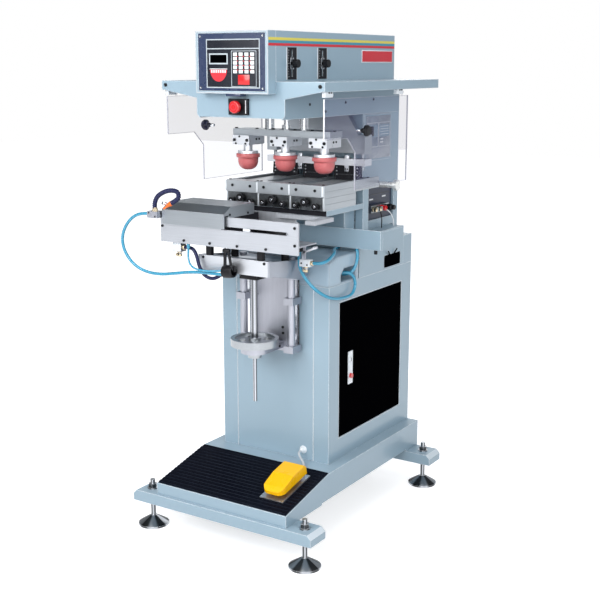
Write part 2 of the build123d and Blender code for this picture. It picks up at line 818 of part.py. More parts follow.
def make_troughs():
    """The three ink troughs, their frame, lock screws and knobs."""
    bed_z = trough_low - front_rail_height
    plinth = block(-plinth_half, plinth_half, plinth_y0, plinth_y1, deck_top, bed_z)
    bed = block(-side_outer, side_outer, trough_front + front_rail_depth / 2, plinth_y1, bed_z, trough_low)
    frame = [plinth, bed]
    for x in (-post_x - post_width, post_x):
        frame.append(block(x, x + post_width, post_y, post_y + post_depth, deck_top, trough_ledge))
    save("trough_frame", frame)

    troughs = []
    screws = []
    for i in range(trough_count):
        x = (i - (trough_count - 1) / 2) * trough_pitch
        half = trough_half
        outline = [(trough_front, trough_low), (trough_front, clamp_plate_low), (front_face, clamp_plate_low),
                   (front_face - clamp_plate_depth + panel_depth, clamp_plate_low),
                   (front_face - clamp_plate_depth + panel_depth, trough_top), (trough_back, trough_top),
                   (trough_back, trough_ledge), (trough_box_back, trough_ledge),
                   (trough_box_back, trough_low)]
        box = plate_along_x(outline, x - half, x + half)
        well = block(x - half + well_rim, x + half - well_rim, well_y0, well_y1, trough_top - well_depth,
                     trough_top + overrun)
        box -= well
        stem_end = trough_front + knob_stand
        box -= bar_along_y(knob_stem_radius + running, x, trough_front - overrun, stem_end + gap, knob_z)
        troughs.append(box)
        knob_back = trough_front - knob_stand
        knob = Pos(x, knob_back, knob_z) * Rot(90, 0, 0) * fluted(knob_radius, knob_length, knob_flutes,
                                                                  knob_flute_depth)
        knob += bar_along_y(knob_stem_radius, x, knob_back, stem_end, knob_z)
        save(("trough_knob_left", "trough_knob_middle", "trough_knob_right")[i], [knob])
        for side in (-1, 1):
            sx = x + side * screw_spread
            back = trough_front - screw_stand
            screw = bar_along_y(screw_radius, sx, back - screw_length, back, screw_z)
            screw += bar_along_y(knob_stem_radius, sx, back, trough_front, screw_z)
            screws.append(screw)
    for i in range(trough_count + 1):
        x = (i - trough_count / 2) * trough_pitch
        back = side_rail_back if abs(x) > trough_pitch else trough_back
        outline = [(trough_front - panel_depth, trough_low), (trough_front - panel_depth, trough_top),
                   (back, trough_top), (back, trough_ledge), (trough_box_back, trough_ledge),
                   (trough_box_back, trough_low)]
        plate = plate_along_x(outline, x - divider / 2, x + divider / 2)
        if abs(x) > trough_pitch:
            outer = x + divider / 2 if x > 0 else x - divider / 2
            for share in side_groove_shares:
                z = trough_low + (trough_top - trough_low) * share
                plate -= block(outer - groove_depth, outer + groove_depth, trough_front, trough_box_back,
                               z - side_groove / 2, z + side_groove / 2)
        troughs.append(plate)
    save("ink_troughs", troughs)
    save("trough_lock_screws", screws)


def make_column():
    """The upper column with the two arms, its window, control plate, cross bar and valves."""
    half = column_half
    top = wing_top - wing_sheet
    column = block(-half, half, column_front, column_back, deck_top, top)
    wall = column_wall
    column -= block(-half + wall, half - wall, column_front + wall, column_back - wall,
                    column_window_z1 + wall, top - wall)
    column -= block(-half - overrun, half + overrun, column_front - overrun, column_window_y1,
                    column_window_z0, column_window_z1)
    column += block(-half, half, column_window_y1, column_back, tail_top, deck_top)
    for x0, x1 in ((-arm_outer, -arm_inner), (arm_inner, arm_outer)):
        column += block(x0, x1, arm_front, column_front, arm_low, arm_high)
    plate = block(half, half + control_thickness, control_y0, control_y1, control_z0, control_z1)
    column -= bar_along_x(bar_radius, half - wall, half + overrun, bar_y, bar_z)
    save("upper_column", [column, plate])
    bar = bar_along_x(bar_radius, half - wall + gap, bar_end_x, bar_y, bar_z)
    disc = bar_along_x(bar_disc_radius, bar_end_x, bar_end_x + bar_disc_length, bar_y, bar_z)
    save("cross_bar", [bar, disc])
    box = block(-valve_half, valve_half, valve_y0, valve_y1, column_window_z0, column_window_z1 - valve_clear)
    save("valve_box", [box])
    fittings = []
    middle = (valve_y0 + valve_y1) / 2
    strip_low = fitting_z - fitting_block_height / 2
    fittings.append(block(valve_half, valve_half + fitting_length / 2, middle - fitting_block_length / 2,
                          middle + fitting_block_length / 2, strip_low, strip_low + fitting_block_height))
    for i in range(fitting_count):
        y = middle + (i - (fitting_count - 1) / 2) * fitting_block_length / fitting_count
        x0 = valve_half + fitting_length / 2
        fittings.append(bar_along_x(fitting_radius, x0, x0 + fitting_length / 2, y, fitting_z))
    notch_wall = cabinet_half - notch_depth
    for route in (right_route, link_route):
        piece = socket(route[-1], route[-2], socket_radius, socket_length)
        fittings.append(piece - block(0, notch_wall, 0, pedestal_depth, cabinet_top, deck_top))
    piece = socket(short_route[-1], short_route[-2], socket_radius, socket_length)
    piece -= block(-half, cabinet_half, body_front, body_front + socket_length, cabinet_top, deck_top)
    fittings.append(piece)
    start = socket(link_route[0], link_route[1], socket_radius, socket_length)
    start -= block(-half, cabinet_half, body_front, body_front + socket_length, cabinet_top, deck_top * 2)
    fittings.append(start)
    save("valve_fittings", fittings)


def make_head():
    """The head housing over the wings, its console, stop button, stroke slots and knobs."""
    head = block(-head_half, head_half, wing_front, head_back, wing_top, head_top)
    inner = head_half - skin
    head -= block(-inner, inner, wing_front + skin, head_back - skin, wing_top - overrun, head_top - skin)
    plates = []
    knob_names = ("stroke_knob_front", "stroke_knob_rear")
    knob_z0 = (stroke_slot_z0 + stroke_slot_z1) / 2
    out = head_half + stroke_plate
    for name, y in zip(knob_names, stroke_slot_y):
        z0, z1 = stroke_slot_z0 + stroke_groove_margin, stroke_slot_z1 - stroke_groove_margin
        groove = block(head_half - skin - overrun, out + overrun, y - stroke_groove_half,
                       y + stroke_groove_half, z0, z1)
        head -= groove
        plates.append(block(head_half, out, y - stroke_slot_half, y + stroke_slot_half, stroke_slot_z0,
                            stroke_slot_z1) - groove)
        knob_x = out + stroke_knob_stand
        grip = fluted(stroke_knob_radius, stroke_knob_length, knob_flutes, knob_flute_depth)
        knob = Pos(knob_x, y, knob_z0) * Rot(0, 90, 0) * grip
        stem_end = inner - gap
        knob += bar_along_x(stroke_stem_radius, stem_end - skin, knob_x, y, knob_z0)
        knob += bar_along_x(stroke_stem_radius * 2, stem_end - skin, stem_end, y, knob_z0)
        save(name, [knob])
    save("head_housing", [head])
    save("slot_plates", plates)

    box = block(-head_half, head_half, console_front, wing_front, console_low, head_top)
    edge = panel_half + gap
    back = console_front + console_lip + gap
    box -= block(-edge, edge, console_front - overrun, back, panel_low - gap, panel_high + gap)
    save("console_box", [box])
    panel = block(-panel_half, panel_half, console_front + gap, back, panel_low, panel_high)
    save("console_panel", [panel])

    wings = []
    under = wing_top - wing_sheet
    front = [(-wing_half, wing_top), (-wing_half, arm_tip_z), (-front_plate_half, arm_root_z),
             (-front_plate_half, front_plate_low), (front_plate_half, front_plate_low),
             (front_plate_half, arm_root_z), (wing_half, arm_tip_z), (wing_half, wing_top)]
    plate = plate_along_y(front, wing_front, wing_front + wing_sheet)
    corners = plate.edges().filter_by(Axis.Y).sort_by(Axis.Z)[:2]
    shell = fillet(corners, front_corner_radius)
    for sign in (-1, 1):
        x0, x1 = sorted((sign * wing_inner, sign * wing_half))
        shell += block(x0, x1, wing_front, wing_back, under, wing_top)
        x0, x1 = sorted((sign * (wing_half - wing_sheet), sign * wing_half))
        shell += block(x0, x1, wing_front, wing_back, wing_top - wing_flange, wing_top)
        x0, x1 = sorted((sign * column_half, sign * skirt_half))
        shell += block(x0, x1, wing_front, head_back, skirt_low, under + overrun / 2)
    for sign in (-1, 1):
        x0, x1 = sorted((sign * skirt_half, sign * wing_half))
        shell += block(x0, x1, wing_back - wing_sheet, wing_back, wing_top - wing_flange, wing_top)
    save("wing_shell", [shell])

    front_y = wing_front - stop_block_depth
    stop = block(-stop_block_half_width, stop_block_half_width, front_y, wing_front,
                 stop_z - stop_block_half_height, stop_z + stop_block_half_height)
    stop -= bar_along_y(stop_stem_radius + running, 0, front_y - overrun, wing_front + overrun, stop_z)
    save("e_stop_block", [stop])
    head_y = front_y - stop_stand
    button = bar_along_y(stop_button_radius, 0, head_y - stop_button_depth, head_y, stop_z)
    button = fillet(button.edges().sort_by(Axis.Y)[0], stop_button_depth / 3)
    button += bar_along_y(stop_stem_radius, 0, head_y, wing_front - stop_travel - gap, stop_z)
    save("e_stop_button", [button])


def make_guards():
    """The two clear side guards on their hinge brackets."""
    under = wing_top - wing_sheet
    sheet_top = guard_axis_z - guard_edge_drop
    outline = [(guard_front, sheet_top), (guard_rear, sheet_top), (guard_rear, guard_low),
               (guard_leg_y, guard_low), (guard_leg_y, guard_leg_z), (guard_step_y, guard_step_z),
               (guard_front, guard_step_z)]
    face = guard_x + guard_sheet / 2
    sheet = plate_along_x(outline, face - guard_sheet, face)
    brackets = []
    for y in bracket_y:
        y0, y1 = y - bracket_length / 2, y + bracket_length / 2
        y2 = y1 + gap + barrel_length
        hold = block(guard_x - bracket_half, guard_x + bracket_half, y0, y1, bracket_low, under)
        hold += bar_along_y(hinge_pin_radius, guard_x, y1 - bracket_half, y2 + gap, guard_axis_z)
        brackets.append(hold)
        sheet += block(face - guard_sheet, face, y1 + gap, y2, sheet_top, guard_axis_z)
        sheet += bar_along_y(barrel_radius, guard_x, y1 + gap, y2, guard_axis_z)
        sheet -= bar_along_y(hinge_pin_radius + running, guard_x, y1, y2 + overrun, guard_axis_z)
    tip = face + guard_knob_length
    profile = [(0, face), (guard_knob_neck, face), (guard_knob_neck, face + guard_knob_length / 3),
               (guard_knob_radius, face + guard_knob_length / 2), (guard_knob_radius * 0.75, tip), (0, tip)]
    knob = Pos(0, guard_knob_y, guard_knob_z) * Rot(0, 90, 0) * turned(profile, 0, 0)
    save("guard_brackets", [twin for b in brackets for twin in mirrored(b)])
    save("right_guard", [sheet, knob])
    save("left_guard", [mirror(sheet, Plane.YZ), mirror(knob, Plane.YZ)])


def make_print_head():
    """The pad carriage, the pad unit and the doctor blades."""
    half = arm_inner - gap
    body = block(-half, half, carriage_y0, carriage_y1, carriage_low, carriage_high)
    reach = arm_inner + carriage_lip
    lip_low = arm_high + gap
    body += block(-reach, reach, carriage_y0, carriage_y1, lip_low, lip_low + carriage_lip_height)
    for x in (-shaft_x, shaft_x):
        body -= bar_along_z(shaft_radius + running, x, shaft_y, carriage_low - overrun, carriage_high * 2)
    body -= bar_along_z(rod_radius + running, 0, shaft_y, carriage_low - overrun, carriage_high * 2)
    neck_low = skirt_low - skin
    outline = [(-skirt_half, hanger_low), (-skirt_half, end_block_high), (-hanger_neck_half, neck_low),
               (-hanger_neck_half, carriage_high), (hanger_neck_half, carriage_high),
               (hanger_neck_half, neck_low), (skirt_half, end_block_high), (skirt_half, hanger_low)]
    hanger = plate_along_y(outline, carriage_y1, hanger_back)

    posts = []
    lift = block(-skirt_half, skirt_half, lift_bar_y0, lift_bar_y1, lift_bar_low, lift_bar_high)
    for sign in (-1, 1):
        x0, x1 = sorted((sign * skirt_half, sign * end_block_x1))
        post = block(x0, x1, end_block_y0, hanger_back, hanger_low, end_block_high)
        post += bar_along_z(post_radius, sign * post_centre, post_centre_y, hanger_low - post_reach,
                            hanger_low)
        posts.append(post)
        lift += block(x0, x1, end_block_y0, hanger_back, lift_bar_low, lift_bar_high)
        lift -= bar_along_z(post_radius + running, sign * post_centre, post_centre_y, lift_bar_low - overrun,
                            lift_bar_high + overrun)
    save("carriage_block", [body, hanger] + posts)
    save("blade_bar", [lift])
    plates = []
    middle = (lift_bar_y0 + lift_bar_y1) / 2
    for i in range(trough_count):
        x = (i - (trough_count - 1) / 2) * trough_pitch
        y0, y1 = middle - blade_plate_depth / 2, middle + blade_plate_depth / 2
        plates.append(plate_along_y([(x - blade_plate_half, blade_plate_low),
                                     (x - blade_plate_half + blade_plate_taper, lift_bar_low),
                                     (x + blade_plate_half - blade_plate_taper, lift_bar_low),
                                     (x + blade_plate_half, blade_plate_low)], y0, y1))
        plates.append(block(x - blade_half, x + blade_half, y0 - blade_thickness, y0, blade_tip,
                            blade_plate_low + blade_plate_depth))
    save("blade_plates", plates)

    unit = block(-pad_plate_reach, pad_plate_reach, pad_plate_y0, pad_plate_y1, pad_plate_low, pad_plate_high)
    save("pad_plate", [unit])
    shafts = []
    for x in (-shaft_x, shaft_x):
        shafts.append(bar_along_z(shaft_radius, x, shaft_y, pad_plate_high, shaft_top))
    rod = bar_along_z(rod_radius, 0, shaft_y, pad_plate_high, shaft_top)
    rod += bar_along_z(rod_nut_radius, 0, shaft_y, pad_plate_high, pad_plate_high + rod_nut_height)
    save("guide_shafts", shafts + [rod])
    holders = []
    pads = []
    for i in range(trough_count):
        x = (i - (trough_count - 1) / 2) * pad_pitch
        holder = block(x - block_half, x + block_half, block_y0, block_y1, block_low, pad_plate_low)
        jaw = block_y0 + block_jaw
        holder -= block(x - block_half - overrun, x + block_half + overrun, jaw, jaw + block_jaw_step,
                        block_low - overrun, block_low + block_jaw_step * 3)
        profile = [(0, cup_low), (cup_radius, cup_low), (cup_radius, cup_high),
                   (cup_neck_radius, cup_high), (cup_neck_radius, block_low), (0, block_low)]
        cup = turned(profile, x, pad_y)
        holders += [holder, cup]
        top = cup_low - pad_flange
        skirt = top - pad_skirt
        dome = [Edge.make_line((0, 0, cup_low), (pad_flange_radius, 0, cup_low)),
                Edge.make_line((pad_flange_radius, 0, cup_low), (pad_flange_radius - pad_taper, 0, top)),
                Edge.make_line((pad_flange_radius - pad_taper, 0, top), (pad_radius, 0, skirt)),
                Edge.make_bezier((pad_radius, 0, skirt), (pad_radius, 0, pad_low + pad_taper * 2),
                                 (pad_radius / 2, 0, pad_low), (0, 0, pad_low)),
                Edge.make_line((0, 0, pad_low), (0, 0, cup_low))]
        pads.append(Pos(x, pad_y, 0) * revolve(make_face(dome), Axis.Z))
    save("pad_blocks", holders)
    save("pads", pads)


def make_table_slide():
    """The vertical slide under the table with its handwheel, screw and supports."""
    plate = block(-slide_half, slide_half, -slide_plate, 0, slide_low, slide_high)
    blocks = []
    for x in (-rod_x, rod_x):
        for z in (guide_low, rod_block_middle):
            top = z + rod_block_height
            hold = block(x - rod_block_half, x + rod_block_half, rod_block_front, -slide_plate, z, top)
            hold -= bar_along_z(guide_radius, x, rod_y, z - overrun, top + overrun)
            blocks.append(hold)
    rods = [bar_along_z(guide_radius - running, x, rod_y, guide_low, guide_high) for x in (-rod_x, rod_x)]

    arm = block(-wheel_arm_half, wheel_arm_half, screw_y, -slide_plate, wheel_arm_low, wheel_arm_high)
    arm += bar_along_z(wheel_arm_half, 0, screw_y, wheel_arm_low, wheel_arm_high)
    arm -= bar_along_z(hub_radius + running, 0, screw_y, wheel_arm_low - overrun, wheel_arm_high + overrun)
    save("slide_back_plate", [plate] + blocks + rods + [arm])

    wheel = bar_along_z(wheel_radius, 0, screw_y, wheel_low, wheel_high)
    inner = wheel_radius - wheel_rim
    web = wheel_low + (wheel_high - wheel_low - wheel_web) / 2
    for z0, z1 in ((wheel_low - overrun, web), (web + wheel_web, wheel_high + overrun)):
        wheel -= bar_along_z(inner, 0, screw_y, z0, z1)
    wheel += bar_along_z(wheel_hub_radius, 0, screw_y, wheel_arm_high + gap, wheel_high)
    ring = (inner + wheel_hub_radius) / 2
    hole = (inner - wheel_hub_radius) * wheel_slot_share * 3
    for i in range(wheel_slots):
        angle = pi / wheel_slots * (2 * i + 1)
        wheel -= bar_along_z(hole, ring * cos(angle), screw_y + ring * sin(angle), wheel_low - overrun,
                             wheel_high + overrun)
    wheel += bar_along_z(hub_radius, 0, screw_y, hub_low, wheel_high)
    wheel += bar_along_z(hub_nut_radius, 0, screw_y, hub_low, wheel_arm_low - gap)
    wheel -= bar_along_z(spindle_radius + running, 0, screw_y, hub_low - overrun, wheel_high + overrun)
    save("handwheel", [wheel])

    screw = bar_along_z(spindle_radius, 0, screw_y, spindle_low, bed_low)
    screw += bar_along_z(tail_radius, 0, screw_y, tail_low, spindle_low)
    collar = bar_along_z(collar_half, 0, screw_y, collar_low, bed_low)
    collar -= bar_along_z(spindle_radius + running, 0, screw_y, collar_low - overrun, bed_low + overrun)
    save("lead_screw", [screw, collar])

    housing = block(gusset - housing_half, housing_half - gusset, housing_front, housing_back, housing_low,
                    housing_high)
    for x in (-rod_x, rod_x):
        housing -= bar_along_z(guide_radius, x, rod_y, housing_low - overrun, housing_high + overrun)
    bar_high = beam_bar_high
    side = [(beam_bar_front, bed_low), (beam_bar_front, bar_high), (housing_back, housing_high),
            (housing_back, gusset_low), (housing_front + housing_back, gusset_low),
            (beam_bar_front + beam_bar_depth, bed_low)]
    plate = plate_along_x(side, housing_half - gusset, housing_half)
    save("slide_carriage", [housing] + mirrored(plate))
    bed = block(gusset - housing_half, housing_half - gusset, beam_bar_front + beam_bar_depth, housing_front,
                bed_low, bed_high)
    bar = block(gusset - housing_half, housing_half - gusset, beam_bar_front, beam_bar_front + beam_bar_depth,
                bed_low, bar_high)
    save("table_beam", [bed, bar])
    knobs = []
    for x in (-standoff_x, standoff_x):
        knobs.append(bar_along_z(standoff_radius, x, standoff_front_y, bar_high, table_low))
        knobs.append(bar_along_z(standoff_radius, x, standoff_back_y, bed_high, table_low))
    save("standoffs", knobs)


def make_table():
    """The shuttle table with its cover, and the air fittings that hang on it."""
    plate_back = plate_front + plate_depth
    plate = block(-table_half, table_half, plate_front, plate_back, table_low, plate_high)
    plate -= slot_along_y(follower_slot_x0, follower_slot_x1, follower_slot_z, follower_slot_half,
                          plate_front - overrun, plate_back + overrun)
    save("shuttle_front_plate", [plate])
    floor = table_low + tray_floor
    tray = block(-table_half, tray_open_x, plate_back, tray_back, table_low, tray_high)
    tray -= block(-table_half + tray_wall, tray_open_x + overrun, plate_back - overrun, tray_back - tray_wall,
                  floor, tray_high + overrun)
    tray += block(tray_open_x, tray_floor_x, plate_back, tray_back, table_low, floor)
    tray += block(tray_floor_x, tray_end_x, plate_back, tray_short_back, table_low, floor)
    tray += block(tray_end_x - tray_wall, tray_end_x, plate_back, tray_short_back, table_low, tray_high)
    ledge_low = tray_high - tray_ledge
    arm_back = tray_back - tray_wall
    arm_front = arm_back - tray_arm
    arm_x = tray_open_x - tray_arm_hold
    tray += block(arm_x, tray_end_x, arm_front, arm_back, ledge_low, tray_high)
    tray += block(tray_end_x, table_half - tray_wall * 2, tray_ledge_y, arm_back, ledge_low, tray_high)
    left = tray_wall - table_half
    rails = [bar_along_x(rail_radius, left, tray_end_x - tray_wall, rail_y[0], rail_z),
             bar_along_x(rail_radius, left, tray_open_x, rail_y[1], rail_z)]
    save("shuttle_tray", [tray] + rails)

    slider = block(slider_x0, slider_x1, slider_y0, slider_y1, slider_low, slider_high)
    for y in rail_y:
        slider -= bar_along_x(rail_radius + running, slider_x0 - overrun, slider_x1 + overrun, y, rail_z)
    pin_back = cover_front + cover_sheet
    slider += bar_along_y(follower_radius, follower_x, pin_back, slider_y0, follower_slot_z)
    t = cover_sheet
    bent = [(cover_front, cover_low), (cover_front, cover_lip_z), (cover_ridge_y, cover_top),
            (cover_back, cover_top), (cover_back, cover_back_low),
            (cover_back - t, cover_back_low), (cover_back - t, cover_top - t),
            (cover_ridge_y + t / 2, cover_top - t), (pin_back, cover_lip_z - t / 2), (pin_back, cover_low)]
    cover = plate_along_x(bent, cover_x0, cover_x1)
    end = [(pin_back, plate_high + t), (pin_back, cover_lip_z - t / 2),
           (cover_ridge_y + t / 2, cover_top - t), (cover_back - t, cover_top - t),
           (cover_back - t, cover_back_low), (plate_back + t, cover_back_low),
           (plate_back + t, plate_high + t)]
    for x0 in (cover_x0, cover_x1 - cover_end):
        cover += plate_along_x(end, x0, x0 + cover_end)
    save("shuttle_cover", [cover])
    save("shuttle_slider", [slider])

    def hung(x, y, width, depth, low):
        return block(x - width / 2, x + width / 2, y - depth / 2, y + depth / 2, low, table_low)

    manifold = block(manifold_x0, manifold_x1, manifold_y0, plate_front, manifold_z0, manifold_z1)
    left = hung(left_valve_x, left_valve_y, left_valve_width, left_valve_depth, left_valve_low)
    wide = right_valve_width / 2
    face = right_valve_y - right_valve_depth / 2
    right = block(right_valve_x - wide, right_valve_x + wide, face, face + right_valve_depth,
                  right_valve_low, right_valve_high)
    right += block(right_valve_x - valve_bracket, right_valve_x + valve_bracket, face,
                   face + valve_bracket, right_valve_high, table_low)
    stems = []
    elbows = ((left_valve_x, left_valve_y, left_valve_low),
              (right_valve_x, right_valve_y, right_valve_low))
    for x, y, z in elbows:
        stems.append(bar_along_z(elbow_radius, x, y, z - elbow_length, z))
    feed = feed_route[0]
    side = left_valve_x + left_valve_width / 2
    stems.append(bar_along_x(feed_hose_radius, side, feed[0], feed[1], feed[2]))
    top = socket(right_route[0], right_route[1], elbow_radius, socket_length)
    stems.append(top - block(0, table_half, plate_front, 0, table_low, table_low * 2))
    save("table_valves", [manifold, left, right] + stems)
    strap = block(strap_x0, strap_x1, strap_y0, strap_y1, strap_low, strap_high)
    middle = (strap_x0 + strap_x1) / 2
    for x in (strap_x0 + strap_band, middle):
        strap += block(x, x + strap_band, strap_y0 + strap_band, strap_y0 + strap_band * 3,
                       strap_high, table_low)
    strap += block(strap_x0, strap_x1, strap_y1 - overrun, beam_bar_front, bed_low, strap_high)
    save("hose_clamp", [strap])
    bend = [(x, nozzle_y, z) for x, z in nozzle_route]
    tip = socket(bend[-1], bend[-2], nozzle_tip_radius, nozzle_tip_length)
    feed = tube("feed_hose", feed_route, feed_hose_radius)
    save("air_nozzle", [tube("air_nozzle", bend, nozzle_radius), tip, feed])


def make_hoses():
    """The free air hoses."""
    save("hose_left_loop", [tube("hose_left_loop", left_route, air_hose_radius)])
    save("hose_right_loop", [tube("hose_right_loop", right_route, air_hose_radius)])
    save("hose_right_short", [tube("hose_right_short", short_route, air_hose_radius)])
    save("hose_right_link", [tube("hose_right_link", link_route, air_hose_radius)])


if __name__ == "__main__":
    os.makedirs("parts", exist_ok=True)
    make_base()
    make_pedal()
    make_cabinet()
    make_bodies()
    make_troughs()
    make_column()
    make_head()
    make_guards()
    make_print_head()
    make_table_slide()
    make_table()
    make_hoses()
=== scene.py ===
"""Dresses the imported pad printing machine: finishes, fasteners, controls, hoses, floor, lights and camera.

Sizes are in millimetres in the drawing's frame: X across the machine, y = 0 on the front of the cabinet,
Z up from the floor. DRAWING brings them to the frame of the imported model, in metres.
"""
import logging
import math
from dataclasses import dataclass, field
from enum import Enum
from typing import Any, Callable, Optional, Sequence

import bmesh
import bpy
from mathutils import Matrix, Vector


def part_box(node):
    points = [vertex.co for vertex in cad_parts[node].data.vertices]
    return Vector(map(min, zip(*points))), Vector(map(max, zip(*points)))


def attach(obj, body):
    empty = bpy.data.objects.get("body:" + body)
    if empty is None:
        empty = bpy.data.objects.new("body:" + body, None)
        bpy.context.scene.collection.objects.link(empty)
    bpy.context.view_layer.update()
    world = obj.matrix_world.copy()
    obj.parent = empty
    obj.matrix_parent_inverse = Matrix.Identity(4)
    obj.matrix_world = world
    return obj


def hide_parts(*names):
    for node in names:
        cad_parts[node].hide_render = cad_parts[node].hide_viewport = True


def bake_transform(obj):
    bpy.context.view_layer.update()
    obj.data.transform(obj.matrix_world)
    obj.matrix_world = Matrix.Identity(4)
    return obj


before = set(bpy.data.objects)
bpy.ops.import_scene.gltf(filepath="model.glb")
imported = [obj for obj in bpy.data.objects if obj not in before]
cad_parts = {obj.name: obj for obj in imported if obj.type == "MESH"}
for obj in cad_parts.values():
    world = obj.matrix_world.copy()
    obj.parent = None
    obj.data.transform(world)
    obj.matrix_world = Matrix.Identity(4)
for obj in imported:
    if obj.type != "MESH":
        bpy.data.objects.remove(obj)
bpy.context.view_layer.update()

LOG = logging.getLogger("pad_printer")
FRONT_TO_MIDDLE = 0.114
MM = 0.001
DRAWING = Matrix.Translation((0.0, -FRONT_TO_MIDDLE, 0.0)) @ Matrix.Scale(MM, 4)
AHEAD = (0, -1, 0)
RIGHT = (1, 0, 0)
UP = (0, 0, 1)
DOWN = (0, 0, -1)
Point = tuple[float, float, float]
Colour = tuple[float, float, float]


def placed(spot: Sequence[float]) -> Point:
    """A point of the drawing, in metres in the model's frame."""
    return tuple(DRAWING @ Vector(spot))


def drawn(metres: float) -> float:
    """A Y of the model's frame, in millimetres in the drawing's frame."""
    return (metres + FRONT_TO_MIDDLE) / MM


def linked(name: str, data: Any) -> bpy.types.Object:
    """A new object in the scene."""
    made = bpy.data.objects.new(name, data)
    bpy.context.scene.collection.objects.link(made)
    return made


def evaluated(carrier: bpy.types.Object) -> bpy.types.Mesh:
    """What an object comes to as a plain mesh. The object itself is removed."""
    bpy.context.view_layer.update()
    mesh = bpy.data.meshes.new_from_object(carrier.evaluated_get(bpy.context.evaluated_depsgraph_get()))
    bpy.data.objects.remove(carrier)
    return mesh


def emptied(owner: Any) -> "Graph":
    """The node tree of a material or world, with nothing in it."""
    owner.use_nodes = True
    owner.node_tree.nodes.clear()
    return Graph(owner.node_tree)


# Node trees


class Graph:
    """Adds and joins the nodes of one node tree."""

    def __init__(self, tree: bpy.types.NodeTree) -> None:
        """Keeps the tree that the nodes go into."""
        self.tree = tree

    def add(self, kind: str, inputs: Optional[dict[Any, Any]] = None, **settings: Any) -> bpy.types.Node:
        """Adds one node.

        Args:
            kind: The node's type name.
            inputs: A value or an output socket for each input, by its name or number.
            settings: Properties of the node itself.

        Returns:
            The new node.
        """
        node = self.tree.nodes.new(kind)
        for key, value in settings.items():
            setattr(node, key, value)
        for key, value in (inputs or {}).items():
            self.feed(node.inputs[key], value)
        return node

    def feed(self, socket: bpy.types.NodeSocket, value: Any) -> None:
        """Links an output into a socket, or sets the socket's own value."""
        if isinstance(value, bpy.types.NodeSocket):
            self.tree.links.new(value, socket)
        else:
            socket.default_value = value

    def inputs(self, **given: Any) -> Any:
        """Args:
            given: The first value of each input, or Geometry or Material for one without.

        Returns:
            The sockets that carry them into the tree.
        """
        kinds = {tuple: "Vector", float: "Float", int: "Int"}
        for name, value in given.items():
            kind = value if isinstance(value, str) else kinds[type(value)]
            made = self.tree.interface.new_socket(name=name, in_out="INPUT", socket_type="NodeSocket" + kind)
            if kind != value:
                made.default_value = value
        return self.add("NodeGroupInput").outputs

    def results(self, **found: bpy.types.NodeSocket) -> None:
        kinds = {"VALUE": "Float", "VECTOR": "Vector", "GEOMETRY": "Geometry"}
        for name, socket in found.items():
            self.tree.interface.new_socket(name=name, in_out="OUTPUT",
                                           socket_type="NodeSocket" + kinds[socket.type])
        self.add("NodeGroupOutput", found)

    def math(self, operation: str, *values: Any) -> bpy.types.NodeSocket:
        """The result of a sum on numbers."""
        return self.add("ShaderNodeMath", dict(enumerate(values)), operation=operation).outputs[0]

    def vectors(self, operation: str, *values: Any) -> bpy.types.NodeSocket:
        """The result of a sum on vectors."""
        node = self.add("ShaderNodeVectorMath", dict(enumerate(values)), operation=operation)
        return node.outputs["Value" if operation in ("DOT_PRODUCT", "LENGTH") else "Vector"]

    def scaled(self, vector: Any, share: Any) -> bpy.types.NodeSocket:
        """A vector or colour times a number."""
        return self.add("ShaderNodeVectorMath", {0: vector, "Scale": share}, operation="SCALE").outputs[0]

    def spread(self, value: Any, given: Sequence[Any], wanted: Sequence[Any],
               **settings: Any) -> bpy.types.NodeSocket:
        """A number brought from one range to another."""
        ends = {"From Min": given[0], "From Max": given[1], "To Min": wanted[0], "To Max": wanted[1]}
        return self.add("ShaderNodeMapRange", {"Value": value, **ends}, **settings).outputs[0]

    def axes(self, vector: Any) -> bpy.types.NodeSocket:
        """The X, Y and Z of a vector, by name."""
        return self.add("ShaderNodeSeparateXYZ", {0: vector}).outputs

    def normal(self) -> bpy.types.NodeSocket:
        """The way that a face looks."""
        return self.add("ShaderNodeNewGeometry").outputs["Normal"]

    def place(self, kind: str = "Object") -> bpy.types.NodeSocket:
        """A point in the piece's own space, or another kind of place."""
        return self.add("ShaderNodeTexCoord").outputs[kind]

    def noise(self, place: Any, scale: Any, detail: Any, **inputs: Any) -> bpy.types.NodeSocket:
        """A noise from 0 to 1."""
        return self.add("ShaderNodeTexNoise", {"Vector": place, "Scale": scale, "Detail": detail,
                                               **inputs}).outputs[0]

    def worn(self, instances: bpy.types.NodeSocket, finish: bpy.types.NodeSocket) -> None:
        """Ends a geometry tree: the instances as real faces in one finish."""
        real = self.add("GeometryNodeRealizeInstances", {0: instances})
        worn = self.add("GeometryNodeSetMaterial", {"Geometry": real.outputs[0], "Material": finish})
        self.results(Geometry=worn.outputs[0])


def group(name: str, kind: str, fill: Callable[[Graph], None]) -> bpy.types.NodeTree:
    """The node group of that name, filled the first time that it is asked for."""
    known = bpy.data.node_groups.get(name)
    if known is None:
        known = bpy.data.node_groups.new(name, kind)
        fill(Graph(known))
    return known


